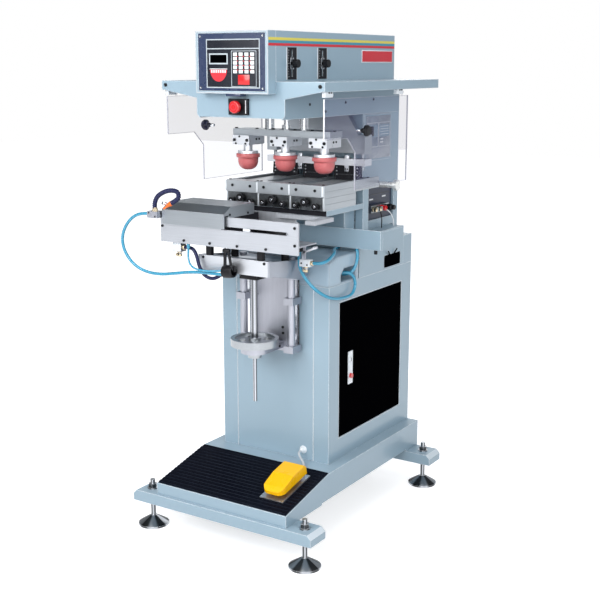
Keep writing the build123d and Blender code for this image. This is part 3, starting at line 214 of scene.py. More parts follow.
class ShaderGroups:
    """The shader node groups that the finishes share."""

    @classmethod
    def get(cls, name: str) -> bpy.types.NodeTree:
        """The group of that name: grain, wear (painted edge highlight, broken up like wear), turned (painted
        reflection bands), deep (painted shade), round (painted highlight on rounded edges) or dust.
        """
        return group(name, "ShaderNodeTree", getattr(cls, "_" + name))

    @staticmethod
    def _grain(graph: Graph) -> None:
        """Noise on the piece's own coordinates, stretched along an axis: a mask and a height."""
        given = graph.inputs(Stretch=(1.0, 1.0, 1.0), Scale=100.0, Detail=3.0, Low=0.0, High=1.0)
        mapping = graph.add("ShaderNodeMapping", {"Vector": graph.place(), "Scale": given["Stretch"]})
        noise = graph.noise(mapping.outputs[0], given["Scale"], given["Detail"], Roughness=0.6)
        graph.results(Mask=graph.spread(noise, (0.32, 0.68), (given["Low"], given["High"])), Height=noise)

    @staticmethod
    def _wear(graph: Graph) -> None:
        """A mask along edges, broken up by noise, and the normal of a rounded edge. The mask paints a pale highlight
        along edges, broken up in patches like wear.
        """
        given = graph.inputs(Radius=0.002, Scale=60.0)
        soft = graph.add("ShaderNodeBevel", {"Radius": given["Radius"]}, samples=4).outputs[0]
        along = graph.vectors("DOT_PRODUCT", soft, graph.normal())
        edge = graph.spread(along, (0.998, 0.91), (0.0, 1.0))
        patch = graph.spread(graph.noise(graph.place(), given["Scale"], 4.0), (0.3, 0.6), (0.6, 1.0))
        graph.results(Mask=graph.math("MULTIPLY", edge, patch), Normal=soft)

    @staticmethod
    def _turned(graph: Graph) -> None:
        """Painted reflections on turned pieces: dark and light bands, by the way that each face looks round the
        upright axis.
        """
        given = graph.inputs(Bands=4.0, Amount=0.6)
        look = graph.axes(graph.normal())
        angle = graph.math("ARCTAN2", look["Y"], look["X"])
        wave = graph.math("SINE", graph.math("MULTIPLY", angle, given["Bands"]))
        level = graph.spread(wave, (-0.6, 0.7), (1.0, 0.0), interpolation_type="SMOOTHSTEP")
        flat = graph.spread(graph.math("ABSOLUTE", look["Z"]), (0.90, 0.99), (1.0, 0.0))
        share = graph.math("MULTIPLY", graph.math("MULTIPLY", level, flat), given["Amount"])
        graph.results(Mask=graph.math("SUBTRACT", 1.0, share))

    @staticmethod
    def _most(graph: Graph, vector: bpy.types.NodeSocket) -> bpy.types.NodeSocket:
        """The largest of a vector's three parts."""
        part = graph.axes(vector)
        return graph.math("MAXIMUM", graph.math("MAXIMUM", part["X"], part["Y"]), part["Z"])

    @classmethod
    def _deep(cls, graph: Graph) -> None:
        """1 inside a block of the piece's own space, else 0: the shade at the bottom of an open tray."""
        given = graph.inputs(Middle=(0.0, 0.0, 0.0), Half=(0.1, 0.1, 0.1))
        away = graph.vectors("SUBTRACT", graph.place(), given["Middle"])
        past = graph.vectors("SUBTRACT", graph.vectors("ABSOLUTE", away), given["Half"])
        graph.results(Mask=graph.math("LESS_THAN", cls._most(graph, past), 0.0))

    @classmethod
    def _round(cls, graph: Graph) -> None:
        """A mask of faces that look between the machine's three main directions, such as rounded edges; it paints a
        highlight on them.
        """
        most = cls._most(graph, graph.vectors("ABSOLUTE", graph.normal()))
        graph.results(Mask=graph.spread(most, (0.93, 0.80), (0.0, 1.0)))

    @staticmethod
    def _dust(graph: Graph) -> None:
        """A mask of what settles on faces that look up, in soft patches."""
        given = graph.inputs(Amount=0.2)
        up = graph.spread(graph.axes(graph.normal())["Z"], (0.3, 1.0), (0.0, 1.0))
        patch = graph.math("MULTIPLY", graph.noise(graph.place(), 14.0, 5.0), up)
        graph.results(Mask=graph.math("MULTIPLY", patch, given["Amount"]))


# Finishes


CLOUD_SCALE = 9.0
COAT_ROUGHNESS = 0.08
GRAIN_DEPTH = 0.001
SHADE_COLOUR = (0.004, 0.004, 0.005)
DUST_COLOUR = (0.75, 0.76, 0.78)


class Run(Enum):
    """The way that the marks of a finish run over a piece, as how little they change along each axis."""

    EVEN = (1.0, 1.0, 1.0)
    ALONG_X = (0.02, 1.0, 1.0)
    ALONG_Y = (1.0, 0.02, 1.0)
    ALONG_Z = (1.0, 1.0, 0.02)


@dataclass(frozen=True)
class Finish:
    """One finish: its colour, its gloss and the fine marks over it."""

    name: str
    slot: str
    colour: Colour
    roughness: float = 0.4
    metallic: float = 0.0
    tone: float = 0.06
    gloss_spread: float = 0.06
    grain_scale: float = 300.0
    grain_height: float = 0.02
    run: Run = Run.EVEN
    # edge, edge_highlight_colour and edge_radius: a highlight painted along the piece's edges, broken up like wear.
    edge: float = 0.0
    edge_highlight_colour: Colour = (0.8, 0.85, 0.9)
    edge_radius: float = 0.0015
    dust: float = 0.0
    coat: float = 0.0
    specular: float = 0.5
    alpha: float = 1.0
    # bands and band_depth: reflection bands painted round turned pieces.
    bands: float = 0.0
    band_depth: float = 0.75
    shade: Optional[tuple[Point, Point]] = None
    # corner: how strongly a highlight is painted on rounded edges and slanted faces.
    corner: float = 0.0

    def material(self) -> bpy.types.Material:
        """The finish as a material, built the first time that it is asked for."""
        known = bpy.data.materials.get(self.name)
        if known:
            return known
        material = bpy.data.materials.new(self.name)
        graph = emptied(material)
        plain = (*self.colour, 1.0)
        grain = self._group(graph, "grain", Stretch=self.run.value, Scale=self.grain_scale,
                            Low=1.0 - self.tone, High=1.0 + self.tone)
        cloud = self._group(graph, "grain", Stretch=Run.EVEN.value, Scale=CLOUD_SCALE, Detail=4.0,
                            Low=self.roughness - self.gloss_spread, High=self.roughness + self.gloss_spread)
        colour = graph.scaled(self.colour, grain["Mask"])
        bump = graph.add("ShaderNodeBump", {"Height": grain["Height"], "Strength": self.grain_height,
                                            "Distance": GRAIN_DEPTH})
        # Reflection bands painted round turned pieces.
        if self.bands > 0.0:
            turned = self._group(graph, "turned", Bands=self.bands, Amount=self.band_depth)
            colour = graph.scaled(colour, turned["Mask"])
        # A pale highlight painted along the edges, broken up like wear.
        if self.edge > 0.0:
            edge_highlight_and_wear = self._group(graph, "wear", Radius=self.edge_radius)
            share = graph.math("MULTIPLY", edge_highlight_and_wear["Mask"], self.edge)
            colour = self._mixed(graph, share, colour, self.edge_highlight_colour)
            graph.feed(bump.inputs["Normal"], edge_highlight_and_wear["Normal"])
        # A highlight painted on rounded edges and slanted faces.
        if self.corner > 0.0:
            share = graph.math("MULTIPLY", self._group(graph, "round")["Mask"], self.corner)
            colour = self._mixed(graph, share, colour, self.edge_highlight_colour)
        if self.shade:
            deep = self._group(graph, "deep", Middle=self.shade[0], Half=self.shade[1])
            colour = self._mixed(graph, deep["Mask"], colour, SHADE_COLOUR)
        if self.dust > 0.0:
            dust = self._group(graph, "dust", Amount=self.dust)
            colour = self._mixed(graph, dust["Mask"], colour, DUST_COLOUR)
        shader = graph.add("ShaderNodeBsdfPrincipled", {
            "Base Color": plain, "Metallic": self.metallic, "Roughness": cloud["Mask"], "Coat Weight": self.coat,
            "Coat Roughness": COAT_ROUGHNESS, "Specular IOR Level": self.specular, "Alpha": self.alpha,
            "Normal": bump.outputs[0]})
        graph.feed(shader.inputs["Base Color"], colour)
        graph.add("ShaderNodeOutputMaterial", {"Surface": shader.outputs[0]})
        material.diffuse_color = plain
        return material

    @staticmethod
    def _group(graph: Graph, name: str, **inputs: Any) -> Any:
        """Places one of the shared groups with its own values, and gives its outputs."""
        return graph.add("ShaderNodeGroup", inputs, node_tree=ShaderGroups.get(name)).outputs

    @staticmethod
    def _mixed(graph: Graph, share: bpy.types.NodeSocket, low: Any, high: Colour) -> bpy.types.NodeSocket:
        """A colour mixed towards a plain one by a share from 0 to 1."""
        return graph.add("ShaderNodeMix", {0: share, 6: low, 7: (*high, 1.0)}, data_type="RGBA").outputs[2]


@dataclass(frozen=True)
class Enamel(Finish):
    """Sprayed and baked enamel: a fine orange peel, a pale highlight painted along thin edges and a little dust."""

    roughness: float = 0.34
    grain_scale: float = 700.0
    grain_height: float = 0.05
    tone: float = 0.02
    edge: float = 1.0
    edge_radius: float = 0.003
    edge_highlight_colour: Colour = (0.86, 0.91, 0.95)
    coat: float = 0.25
    dust: float = 0.12


@dataclass(frozen=True)
class Metal(Finish):
    """Bare metal with the marks of the tool that cut it, and a faint highlight painted along its edges."""

    metallic: float = 1.0
    roughness: float = 0.3
    grain_scale: float = 420.0
    grain_height: float = 0.08
    tone: float = 0.10
    edge: float = 0.25
    edge_radius: float = 0.0008


@dataclass(frozen=True)
class Moulded(Finish):
    """Moulded plastic or rubber with a fine texture, and a faint highlight painted along its edges."""

    roughness: float = 0.45
    grain_scale: float = 900.0
    grain_height: float = 0.10
    tone: float = 0.08
    edge: float = 0.12
    edge_radius: float = 0.0008


# The body enamel, with a highlight painted on its rounded edges and slanted faces.
BODY = Enamel("body enamel", "body_paint", (0.285, 0.395, 0.475), corner=0.55)
# A lighter body enamel for the front pedestal, with a wide highlight painted along its sharp edges so that they look
# rounded.
ROUND_HIGHLIGHT_BODY = Enamel("body enamel on a round corner", "body_paint", (0.33, 0.45, 0.545), edge=0.3,
                    edge_radius=0.014)
BODY_INSIDE = Enamel("body enamel in shade", "body_paint", (0.20, 0.29, 0.37), edge=0.3)
# Near black: the door's own enamel and the display, and also the dark sheets that stand for shade in a slot and a
# notch of the cabinet.
DOOR_AND_SHADE_BLACK = Enamel("door enamel", "door_black", (0.0008, 0.0008, 0.0012), roughness=0.5, gloss_spread=0.02, coat=0.0,
              edge=0.0, grain_height=0.0, dust=0.0, specular=0.0)
NAVY_BOX = Enamel("navy enamel", "navy_metal", (0.008, 0.016, 0.045), edge=0.3, coat=0.1, specular=0.3,
                  dust=0.0)
WHITE_METAL = Enamel("white enamel", "white_metal", (0.78, 0.82, 0.86), edge=0.2)
BLACK_METAL = Enamel("black enamel", "black_metal", (0.012, 0.012, 0.016), roughness=0.5, edge=0.12, dust=0.0,
                     specular=0.15, coat=0.0)
# Its paler edge colour paints highlights along the ribs.
TREAD = Moulded("ribbed rubber", "tread_rubber", (0.003, 0.004, 0.009), roughness=0.42, grain_scale=500.0,
                specular=0.03, edge=0.45, edge_highlight_colour=(0.07, 0.085, 0.12), edge_radius=0.0016)
# Reflection bands and a pale edge highlight, both painted.
CHROME = Metal("chrome", "chrome", (0.62, 0.64, 0.68), roughness=0.16, gloss_spread=0.04, tone=0.02,
               grain_height=0.01, bands=5.0, band_depth=0.80, edge=0.6, edge_highlight_colour=(0.9, 0.92, 0.95))
PLATED = Metal("plated steel", "chrome", (0.74, 0.76, 0.80), roughness=0.2, tone=0.03, grain_height=0.01)
ALUMINIUM = Metal("milled aluminium", "aluminium", (0.66, 0.68, 0.72), run=Run.ALONG_X, roughness=0.42, tone=0.03,
                  grain_height=0.03)
PLATE = Metal("brushed aluminium", "aluminium", (0.50, 0.52, 0.56), run=Run.ALONG_X, roughness=0.44, tone=0.05,
              grain_height=0.03)
CARRIAGE = Metal("cast aluminium", "aluminium", (0.40, 0.42, 0.47), run=Run.ALONG_X, roughness=0.45, tone=0.04,
                 grain_height=0.03)
ALUMINIUM_UP = Metal("drawn aluminium", "aluminium", (0.42, 0.43, 0.48), run=Run.ALONG_Z, roughness=0.42, tone=0.04)
ALUMINIUM_BACK = Metal("ground aluminium", "aluminium", (0.44, 0.47, 0.50), run=Run.ALONG_Y, roughness=0.42, tone=0.05)
STEEL = Metal("ground steel", "steel", (0.36, 0.39, 0.42), run=Run.ALONG_X, roughness=0.40, tone=0.04,
              grain_height=0.03)
TRAY_STEEL = Metal("tray steel", "steel", (0.46, 0.48, 0.52), run=Run.ALONG_Z, roughness=0.35, tone=0.08,
                   grain_height=0.03, metallic=0.35,
                   shade=((-0.0685, -0.25525, 0.9525), (0.178, 0.09875, 0.0225)))
# Reflection bands and a pale edge highlight, both painted, on the feet.
FOOT = Metal("plated foot", "chrome", (0.50, 0.52, 0.55), roughness=0.3, tone=0.02, grain_height=0.01,
             bands=5.0, band_depth=0.86, edge=0.9, edge_highlight_colour=(0.8, 0.82, 0.85), edge_radius=0.0015)
BAR = Metal("polished bar", "polished_steel", (0.86, 0.86, 0.84), roughness=0.3, tone=0.03, metallic=0.6,
            grain_height=0.01)
TRAY_PLATE = Metal("etched plate", "steel", (0.50, 0.52, 0.54), run=Run.ALONG_Y, roughness=0.45, tone=0.08,
                   grain_height=0.03, metallic=0.5)
TROUGH_FACE = Metal("oily aluminium", "aluminium", (0.16, 0.17, 0.18), roughness=0.3, tone=0.25, grain_scale=60.0,
                    grain_height=0.05)
# Reflection bands painted round the turned pieces.
BRIGHT = Metal("polished steel", "polished_steel", (0.50, 0.52, 0.56), roughness=0.22, tone=0.04,
               grain_height=0.02, bands=5.0, band_depth=0.7)
# A pale highlight painted along its edges.
WHEEL = Metal("turned steel", "polished_steel", (0.38, 0.40, 0.42), roughness=0.34, tone=0.08, grain_height=0.04,
              edge=0.8, edge_highlight_colour=(0.75, 0.78, 0.8))
BRASS = Metal("brass", "steel", (0.60, 0.50, 0.34), roughness=0.25, tone=0.05, grain_height=0.02)
BLACK = Moulded("black plastic", "black_plastic", (0.006, 0.006, 0.008), roughness=0.4, specular=0.22)
PALE_LEAD_SKIN = Moulded("pale lead", "grey_plastic", (0.50, 0.53, 0.56), roughness=0.5, edge=0.0)
GREY = Moulded("grey plastic", "grey_plastic", (0.42, 0.46, 0.50), roughness=0.5)
RED = Moulded("red plastic", "red_plastic", (0.62, 0.012, 0.015), roughness=0.22, grain_height=0.02, coat=0.5)
YELLOW = Moulded("yellow plastic", "yellow_plastic", (0.94, 0.50, 0.004), roughness=0.30, grain_height=0.04,
                 coat=0.1, specular=0.3, edge_highlight_colour=(1.0, 0.8, 0.35))
SILICONE = Moulded("pad silicone", "pad_silicone", (0.55, 0.13, 0.135), roughness=0.38, tone=0.05,
                   grain_scale=200.0, coat=0.15, edge=0.25, edge_highlight_colour=(0.85, 0.4, 0.4))
# Grey print for the console's lines, and also the console's pale rim, which is a highlight painted on the box's front
# edges.
GREY_PRINT_AND_RIM_HIGHLIGHT = Moulded("grey print", "white_metal", (0.45, 0.50, 0.54), roughness=0.4, grain_height=0.0,
                     edge=0.0)
NAVY_FILM = Moulded("navy film", "navy_panel", (0.018, 0.032, 0.085), roughness=0.28, grain_height=0.03, coat=0.3)
INK_FILM = Moulded("dark film", "navy_panel", (0.004, 0.006, 0.014), roughness=0.25, grain_height=0.02)
HOSE_BLUE = Moulded("blue air hose", "hose_blue", (0.035, 0.30, 0.47), roughness=0.22, coat=0.4, edge=0.0,
                    grain_height=0.02)
HOSE_NAVY = Moulded("navy hose", "hose_navy", (0.008, 0.011, 0.060), roughness=0.35, edge=0.0, specular=0.3)
ORANGE = Moulded("orange plastic", "red_plastic", (0.85, 0.16, 0.012), roughness=0.35)
WHITE_PRINT = Moulded("white print", "white_metal", (0.80, 0.82, 0.84), roughness=0.4, grain_height=0.0, edge=0.0)
RED_PRINT = Moulded("red print", "red_plastic", (0.62, 0.015, 0.03), roughness=0.4, grain_height=0.0, edge=0.0)
YELLOW_PRINT = Moulded("yellow print", "yellow_plastic", (0.72, 0.62, 0.10), roughness=0.4, grain_height=0.0,
                       edge=0.0)
TEAL_PRINT = Moulded("teal print", "hose_blue", (0.05, 0.27, 0.38), roughness=0.4, grain_height=0.0, edge=0.0)
ACRYLIC = Finish("clear sheet", "acrylic", (0.20, 0.20, 0.38), roughness=0.12, gloss_spread=0.01, tone=0.01,
                 grain_height=0.0, alpha=0.11, specular=0.2)
PANEL_GREY = Enamel("panel grey", "body_paint", (0.13, 0.17, 0.23), edge=0.4, dust=0.0)
SHEET_EDGE = Moulded("edge of clear sheet", "acrylic", (0.86, 0.87, 0.90), roughness=0.3, edge=0.0)
SHEET_RIM = Moulded("dim edge of clear sheet", "acrylic", (0.40, 0.40, 0.46), roughness=0.3, edge=0.0)


# Shapes


class Shape:
    """A mesh in the making, in millimetres in the drawing's frame."""

    def __init__(self) -> None:
        """Starts with no faces."""
        self.mesh = bmesh.new()

    def box(self, x: tuple[float, float], y: tuple[float, float], z: tuple[float, float],
            bevel: float = 0.0) -> "Shape":
        """Adds a block.

        Args:
            x: Its lowest and highest X.
            y: Its lowest and highest Y.
            z: Its lowest and highest Z.
            bevel: How far its edges are rounded.

        Returns:
            The shape itself.
        """
        made = bmesh.ops.create_cube(self.mesh, size=1.0)["verts"]
        for vertex in made:
            vertex.co = Vector([low + (high - low) * (c + 0.5) for (low, high), c in zip((x, y, z), vertex.co)])
        if bevel:
            self._bevel({edge for vertex in made for edge in vertex.link_edges}, bevel)
        return self

    def _bevel(self, edges: set, offset: float) -> None:
        """Rounds some edges in two steps."""
        bmesh.ops.bevel(self.mesh, geom=list(edges), offset=offset, segments=2, profile=0.5, affect="EDGES",
                        clamp_overlap=True)

    def prism(self, outline: Sequence[tuple[float, float]], axis: str, low: float, high: float,
              bevel: float = 0.0) -> "Shape":
        """Adds an outline drawn square to an axis, extruded along that axis.

        Args:
            outline: Its points, in the order of the two other axes.
            axis: x, y or z.
            low: Where it starts on the axis.
            high: Where it ends on the axis.
            bevel: How far its edges are rounded.

        Returns:
            The shape itself.
        """
        def spot(a: float, b: float, c: float) -> Vector:
            """A point from its two places in the outline and its place on the axis."""
            return Vector({"x": (c, a, b), "y": (a, c, b), "z": (a, b, c)}[axis])

        first = [self.mesh.verts.new(spot(a, b, low)) for a, b in outline]
        last = [self.mesh.verts.new(spot(a, b, high)) for a, b in outline]
        faces = [self.mesh.faces.new(first), self.mesh.faces.new(last)]
        for i in range(len(outline)):
            j = (i + 1) % len(outline)
            faces.append(self.mesh.faces.new((first[i], first[j], last[j], last[i])))
        if bevel:
            self._bevel({edge for face in faces for edge in face.edges}, bevel)
        return self

    def lathe(self, start: Sequence[float], toward: Sequence[float], profile: Sequence[tuple[float, float]],
              sides: int = 32) -> "Shape":
        """Adds a turned form.

        Args:
            start: The point on its axis that the profile counts from.
            toward: The direction of its axis.
            profile: Its outline as distances along the axis, and radii.
            sides: How many faces go round.

        Returns:
            The shape itself.
        """
        axis = Vector(toward).normalized()
        side = axis.orthogonal().normalized()
        up = axis.cross(side)
        rings = []
        for along, radius in profile:
            middle = Vector(start) + axis * along
            if radius <= 0.0:
                rings.append([self.mesh.verts.new(middle)])
                continue
            turns = (2 * math.pi * i / sides for i in range(sides))
            rings.append([self.mesh.verts.new(middle + side * (radius * math.cos(a)) + up * (radius * math.sin(a)))
                          for a in turns])
        for low, high in zip(rings, rings[1:]):
            for i in range(sides):
                j = (i + 1) % sides
                corners = [low[i % len(low)], low[j % len(low)], high[j % len(high)], high[i % len(high)]]
                self.mesh.faces.new(list(dict.fromkeys(corners)))
        for ring, profile_end in ((rings[0], profile[0]), (rings[-1], profile[-1])):
            if profile_end[1] > 0.0:
                self.mesh.faces.new(ring)
        return self

    def rod(self, start: Sequence[float], end: Sequence[float], radius: float, round_edge: float = 0.0,
            sides: int = 32) -> "Shape":
        """Adds a round bar between two points, with its rims rounded."""
        way = Vector(end) - Vector(start)
        rim = min(round_edge, radius * 0.9, way.length / 2)
        profile = [(0, 0), (0, radius - rim), (rim * 0.3, radius - rim * 0.3), (rim, radius),
                   (way.length - rim, radius), (way.length - rim * 0.3, radius - rim * 0.3),
                   (way.length, radius - rim), (way.length, 0)]
        if rim <= 0.0:
            profile = [(0, 0), (0, radius), (way.length, radius), (way.length, 0)]
        return self.lathe(start, way, profile, sides)

    def frame(self, x: tuple[float, float], z: tuple[float, float], y: tuple[float, float],
              width: float) -> "Shape":
        """Adds four bars round a window that faces forwards."""
        self.box(x, y, (z[0], z[0] + width))
        self.box(x, y, (z[1] - width, z[1]))
        self.box((x[0], x[0] + width), y, (z[0] + width, z[1] - width))
        self.box((x[1] - width, x[1]), y, (z[0] + width, z[1] - width))
        return self

    def finish(self, name: str, finish: Finish, body: str = "frame", crease: float = 32.0) -> bpy.types.Object:
        """Turns the shape into a piece of the machine.

        Args:
            name: The piece's name.
            finish: The finish it wears.
            body: The moving body that carries it.
            crease: The angle past which an edge stays sharp.

        Returns:
            The piece.
        """
        bmesh.ops.remove_doubles(self.mesh, verts=self.mesh.verts, dist=0.0005)
        bmesh.ops.recalc_face_normals(self.mesh, faces=self.mesh.faces)
        self.mesh.transform(DRAWING)
        mesh = bpy.data.meshes.new(name)
        self.mesh.to_mesh(mesh)
        self.mesh.free()
        return dressed(name, mesh, finish, body, crease)


def dressed(name: str, mesh: bpy.types.Mesh, finish: Finish, body: str, crease: float = 32.0) -> bpy.types.Object:
    """Makes a piece from a finished mesh, and lets it ride on its body."""
    mesh.materials.clear()
    mesh.materials.append(finish.material())
    mesh.shade_smooth()
    mesh.set_sharp_from_angle(angle=math.radians(crease))
    piece = linked(name, mesh)
    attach(piece, body)
    LOG.info("%s: %d faces on %s", name, len(mesh.polygons), body)
    return piece


def wear(node: str, finish: Finish) -> None:
    """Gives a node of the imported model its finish."""
    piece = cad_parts[node]
    piece.data.materials.clear()
    piece.data.materials.append(finish.material())
    LOG.info("%s: %s", node, finish.name)


# Repeats


@dataclass
class Fasteners:
    """Socket screws set on points, by geometry nodes: one piece, with heads of one size and finish.

    The socket's width is a share of the head's width. Its depth, and how far the head's middle stands off the
    face, are shares of the head's height.
    """

    SOCKET_WIDTH = 0.55
    SOCKET_DEPTH = 0.6
    LIFT = 0.42
    name: str
    finish: Finish
    radius: float
    height: float
    body: str = "frame"
    spots: list[tuple[Point, Point]] = field(default_factory=list)

    def at(self, toward: Point, *spots: Point) -> "Fasteners":
        """Sets a screw at each spot, with its head towards a direction."""
        self.spots += [(spot, toward) for spot in spots]
        return self

    def make(self) -> bpy.types.Object:
        """Builds the screws and turns them into one plain mesh."""
        mesh = bpy.data.meshes.new(self.name)
        mesh.from_pydata([placed(spot) for spot, _ in self.spots], [], [])
        facing = mesh.attributes.new("facing", "FLOAT_VECTOR", "POINT")
        for item, (_, toward) in zip(facing.data, self.spots):
            item.vector = toward
        result = grown(mesh, "socket screws", self._fill, {
            "Radius": self.radius * MM, "Height": self.height * MM, "Finish": self.finish.material()})
        return dressed(self.name, result, self.finish, self.body, 30.0)

    @staticmethod
    def _fill(graph: Graph) -> None:
        """Sets a socket screw on each point, turned to face along its attribute."""
        given = graph.inputs(Geometry="Geometry", Radius=0.003, Height=0.002, Finish="Material")
        head = graph.add("GeometryNodeMeshCylinder", {"Vertices": 16, "Radius": given["Radius"],
                                                      "Depth": given["Height"]}, fill_type="NGON")
        up = graph.axes(graph.add("GeometryNodeInputNormal").outputs[0])["Z"]
        top = graph.add("FunctionNodeCompare", {0: up, 1: 0.9}, operation="GREATER_THAN")
        rim = graph.add("GeometryNodeExtrudeMesh", {"Mesh": head.outputs["Mesh"], "Selection": top.outputs[0],
                                                    "Offset Scale": 0.0}, mode="FACES")
        inner = graph.add("GeometryNodeScaleElements", {"Geometry": rim.outputs["Mesh"],
                                                        "Selection": rim.outputs["Top"],
                                                        "Scale": Fasteners.SOCKET_WIDTH})
        depth = graph.math("MULTIPLY", given["Height"], -Fasteners.SOCKET_DEPTH)
        hollow = graph.add("GeometryNodeExtrudeMesh", {"Mesh": inner.outputs[0], "Selection": rim.outputs["Top"],
                                                       "Offset Scale": depth}, mode="FACES")
        lift = graph.math("MULTIPLY", given["Height"], Fasteners.LIFT)
        offset = graph.add("ShaderNodeCombineXYZ", {"Z": lift})
        raised = graph.add("GeometryNodeTransform", {"Geometry": hollow.outputs["Mesh"],
                                                     "Translation": offset.outputs[0]})
        named = graph.add("GeometryNodeInputNamedAttribute", {"Name": "facing"}, data_type="FLOAT_VECTOR")
        turn = graph.add("FunctionNodeAlignRotationToVector", {"Vector": named.outputs[0]}, axis="Z")
        points = graph.add("GeometryNodeInstanceOnPoints", {"Points": given["Geometry"],
                                                            "Instance": raised.outputs[0],
                                                            "Rotation": turn.outputs[0]})
        graph.worn(points.outputs[0], given["Finish"])


def grown(mesh: bpy.types.Mesh, name: str, fill: Callable[[Graph], None],
          values: dict[str, Any]) -> bpy.types.Mesh:
    """Runs a geometry node tree on a mesh and gives the result as a plain mesh.

    Args:
        mesh: The points or line that go into the tree.
        name: The name of the tree.
        fill: What fills the tree with nodes, the first time.
        values: A value for each named input.

    Returns:
        The new mesh.
    """
    tree = group(name, "GeometryNodeTree", fill)
    carrier = linked(mesh.name + "_source", mesh)
    modifier = carrier.modifiers.new(tree.name, "NODES")
    modifier.node_group = tree
    for item in tree.interface.items_tree:
        if item.item_type == "SOCKET" and item.in_out == "INPUT" and item.name in values:
            modifier[item.identifier] = values[item.name]
    return evaluated(carrier)


@dataclass
class KeyField:
    """A grid of flat keys on a face that looks forwards, by geometry nodes."""

    columns: int
    rows: int
    x: tuple[float, float]
    z: tuple[float, float]
    face_y: float
    width: float
    height: float
    rise: float

    def make(self, name: str, finish: Finish, body: str = "frame") -> bpy.types.Object:
        """Builds the keys as one plain mesh."""
        mesh = bpy.data.meshes.new(name)
        middle = placed(((self.x[0] + self.x[1]) / 2, self.face_y - self.rise / 2, (self.z[0] + self.z[1]) / 2))
        mesh.from_pydata([middle], [], [])
        result = grown(mesh, "key field", self._fill, {
            "Columns": self.columns, "Rows": self.rows, "Finish": finish.material(),
            "Across": (self.x[1] - self.x[0]) * MM, "Up": (self.z[1] - self.z[0]) * MM,
            "Key": (self.width * MM, self.rise * MM, self.height * MM)})
        return dressed(name, result, finish, body)

    @staticmethod
    def _fill(graph: Graph) -> None:
        """Sets a block on each point of a grid that stands upright."""
        given = graph.inputs(Geometry="Geometry", Columns=4, Rows=5, Across=0.06, Up=0.06, Key=(0.01, 0.001, 0.01),
                             Finish="Material")
        grid = graph.add("GeometryNodeMeshGrid", {"Size X": given["Across"], "Size Y": given["Up"],
                                                  "Vertices X": given["Columns"], "Vertices Y": given["Rows"]})
        upright = graph.add("GeometryNodeTransform", {"Geometry": grid.outputs["Mesh"],
                                                      "Rotation": (math.pi / 2, 0.0, 0.0)})
        key = graph.add("GeometryNodeMeshCube", {"Size": given["Key"]})
        keys = graph.add("GeometryNodeInstanceOnPoints", {"Points": upright.outputs[0],
                                                          "Instance": key.outputs["Mesh"]})
        whole = graph.add("GeometryNodeInstanceOnPoints", {"Points": given["Geometry"],
                                                           "Instance": keys.outputs[0]})
        graph.worn(whole.outputs[0], given["Finish"])


# Hoses


@dataclass
class HoseLine:
    """A free hose along its route, with the smooth line of a NURBS spline."""

    name: str
    node: str
    route: Sequence[Point]
    length: float
    radius: float
    finish: Finish
    body: str
    pieces: Sequence[bpy.types.Object] = ()

    def curve(self, thick: bool) -> bpy.types.Curve:
        """The route as a curve, with or without its thickness."""
        curve = bpy.data.curves.new(self.name, "CURVE")
        curve.dimensions = "3D"
        spline = curve.splines.new("NURBS")
        spline.points.add(len(self.route) - 1)
        for point, spot in zip(spline.points, self.route):
            point.co = (*placed(spot), 1.0)
        spline.order_u = 3
        spline.use_endpoint_u = True
        spline.resolution_u = 12
        if thick:
            curve.bevel_depth = self.radius * MM
            curve.bevel_resolution = 6
            curve.use_fill_caps = True
        return curve

    def make(self) -> bpy.types.Object:
        curve = self.curve(True)
        curve.materials.append(self.finish.material())
        piece = linked(self.name, curve)
        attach(piece, self.body)
        self._declare()
        return piece

    def make_between(self) -> bpy.types.Object:
        """Returns:
            The hose.
        """
        line = evaluated(linked(self.name + "_line", self.curve(False)))
        mesh = evaluated(linked(self.name + "_line", self.curve(True)))
        mesh.materials.clear()
        mesh.materials.append(self.finish.material())
        mesh.shade_smooth()
        piece = linked(self.name, mesh)
        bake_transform(piece)
        self._declare()
        return piece

    def _declare(self) -> None:
        """Hides the imported part that the hose stands for, if any, and notes its real length."""
        if self.node:
            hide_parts(self.node)
        LOG.info("%s: %.0f mm long", self.name, self.length * 1000)


@dataclass
class LinkHose:
    """A jointed hose: rounded links that follow one another along a route, by geometry nodes."""

    route: Sequence[Point]
    radius: float
    pitch: float

    def make(self, name: str, finish: Finish, body: str) -> bpy.types.Object:
        """Builds the links as one plain mesh."""
        mesh = bpy.data.meshes.new(name)
        edges = [(i, i + 1) for i in range(len(self.route) - 1)]
        mesh.from_pydata([placed(spot) for spot in self.route], edges, [])
        result = grown(mesh, "link hose", self._fill, {
            "Radius": self.radius * MM, "Pitch": self.pitch * MM, "Finish": finish.material()})
        return dressed(name, result, finish, body, 50.0)

    @staticmethod
    def _fill(graph: Graph) -> None:
        """Rounds off a line and strings links on it."""
        given = graph.inputs(Geometry="Geometry", Radius=0.0075, Pitch=0.006, Finish="Material")
        line = graph.add("GeometryNodeMeshToCurve", {"Mesh": given["Geometry"]})
        soft = graph.add("GeometryNodeCurveSplineType", {"Curve": line.outputs[0]}, spline_type="CATMULL_ROM")
        even = graph.add("GeometryNodeResampleCurve", {"Curve": soft.outputs[0], "Length": given["Pitch"]},
                         mode="LENGTH")
        course = graph.add("GeometryNodeInputTangent")
        turn = graph.add("FunctionNodeAlignRotationToVector", {"Vector": course.outputs[0]}, axis="Z")
        link = graph.add("GeometryNodeMeshUVSphere", {"Segments": 20, "Rings": 10, "Radius": given["Radius"]})
        strung = graph.add("GeometryNodeInstanceOnPoints", {"Points": even.outputs[0],
                                                            "Instance": link.outputs[0],
                                                            "Rotation": turn.outputs[0],
                                                            "Scale": (1.0, 1.0, 0.72)})
        graph.worn(strung.outputs[0], given["Finish"])


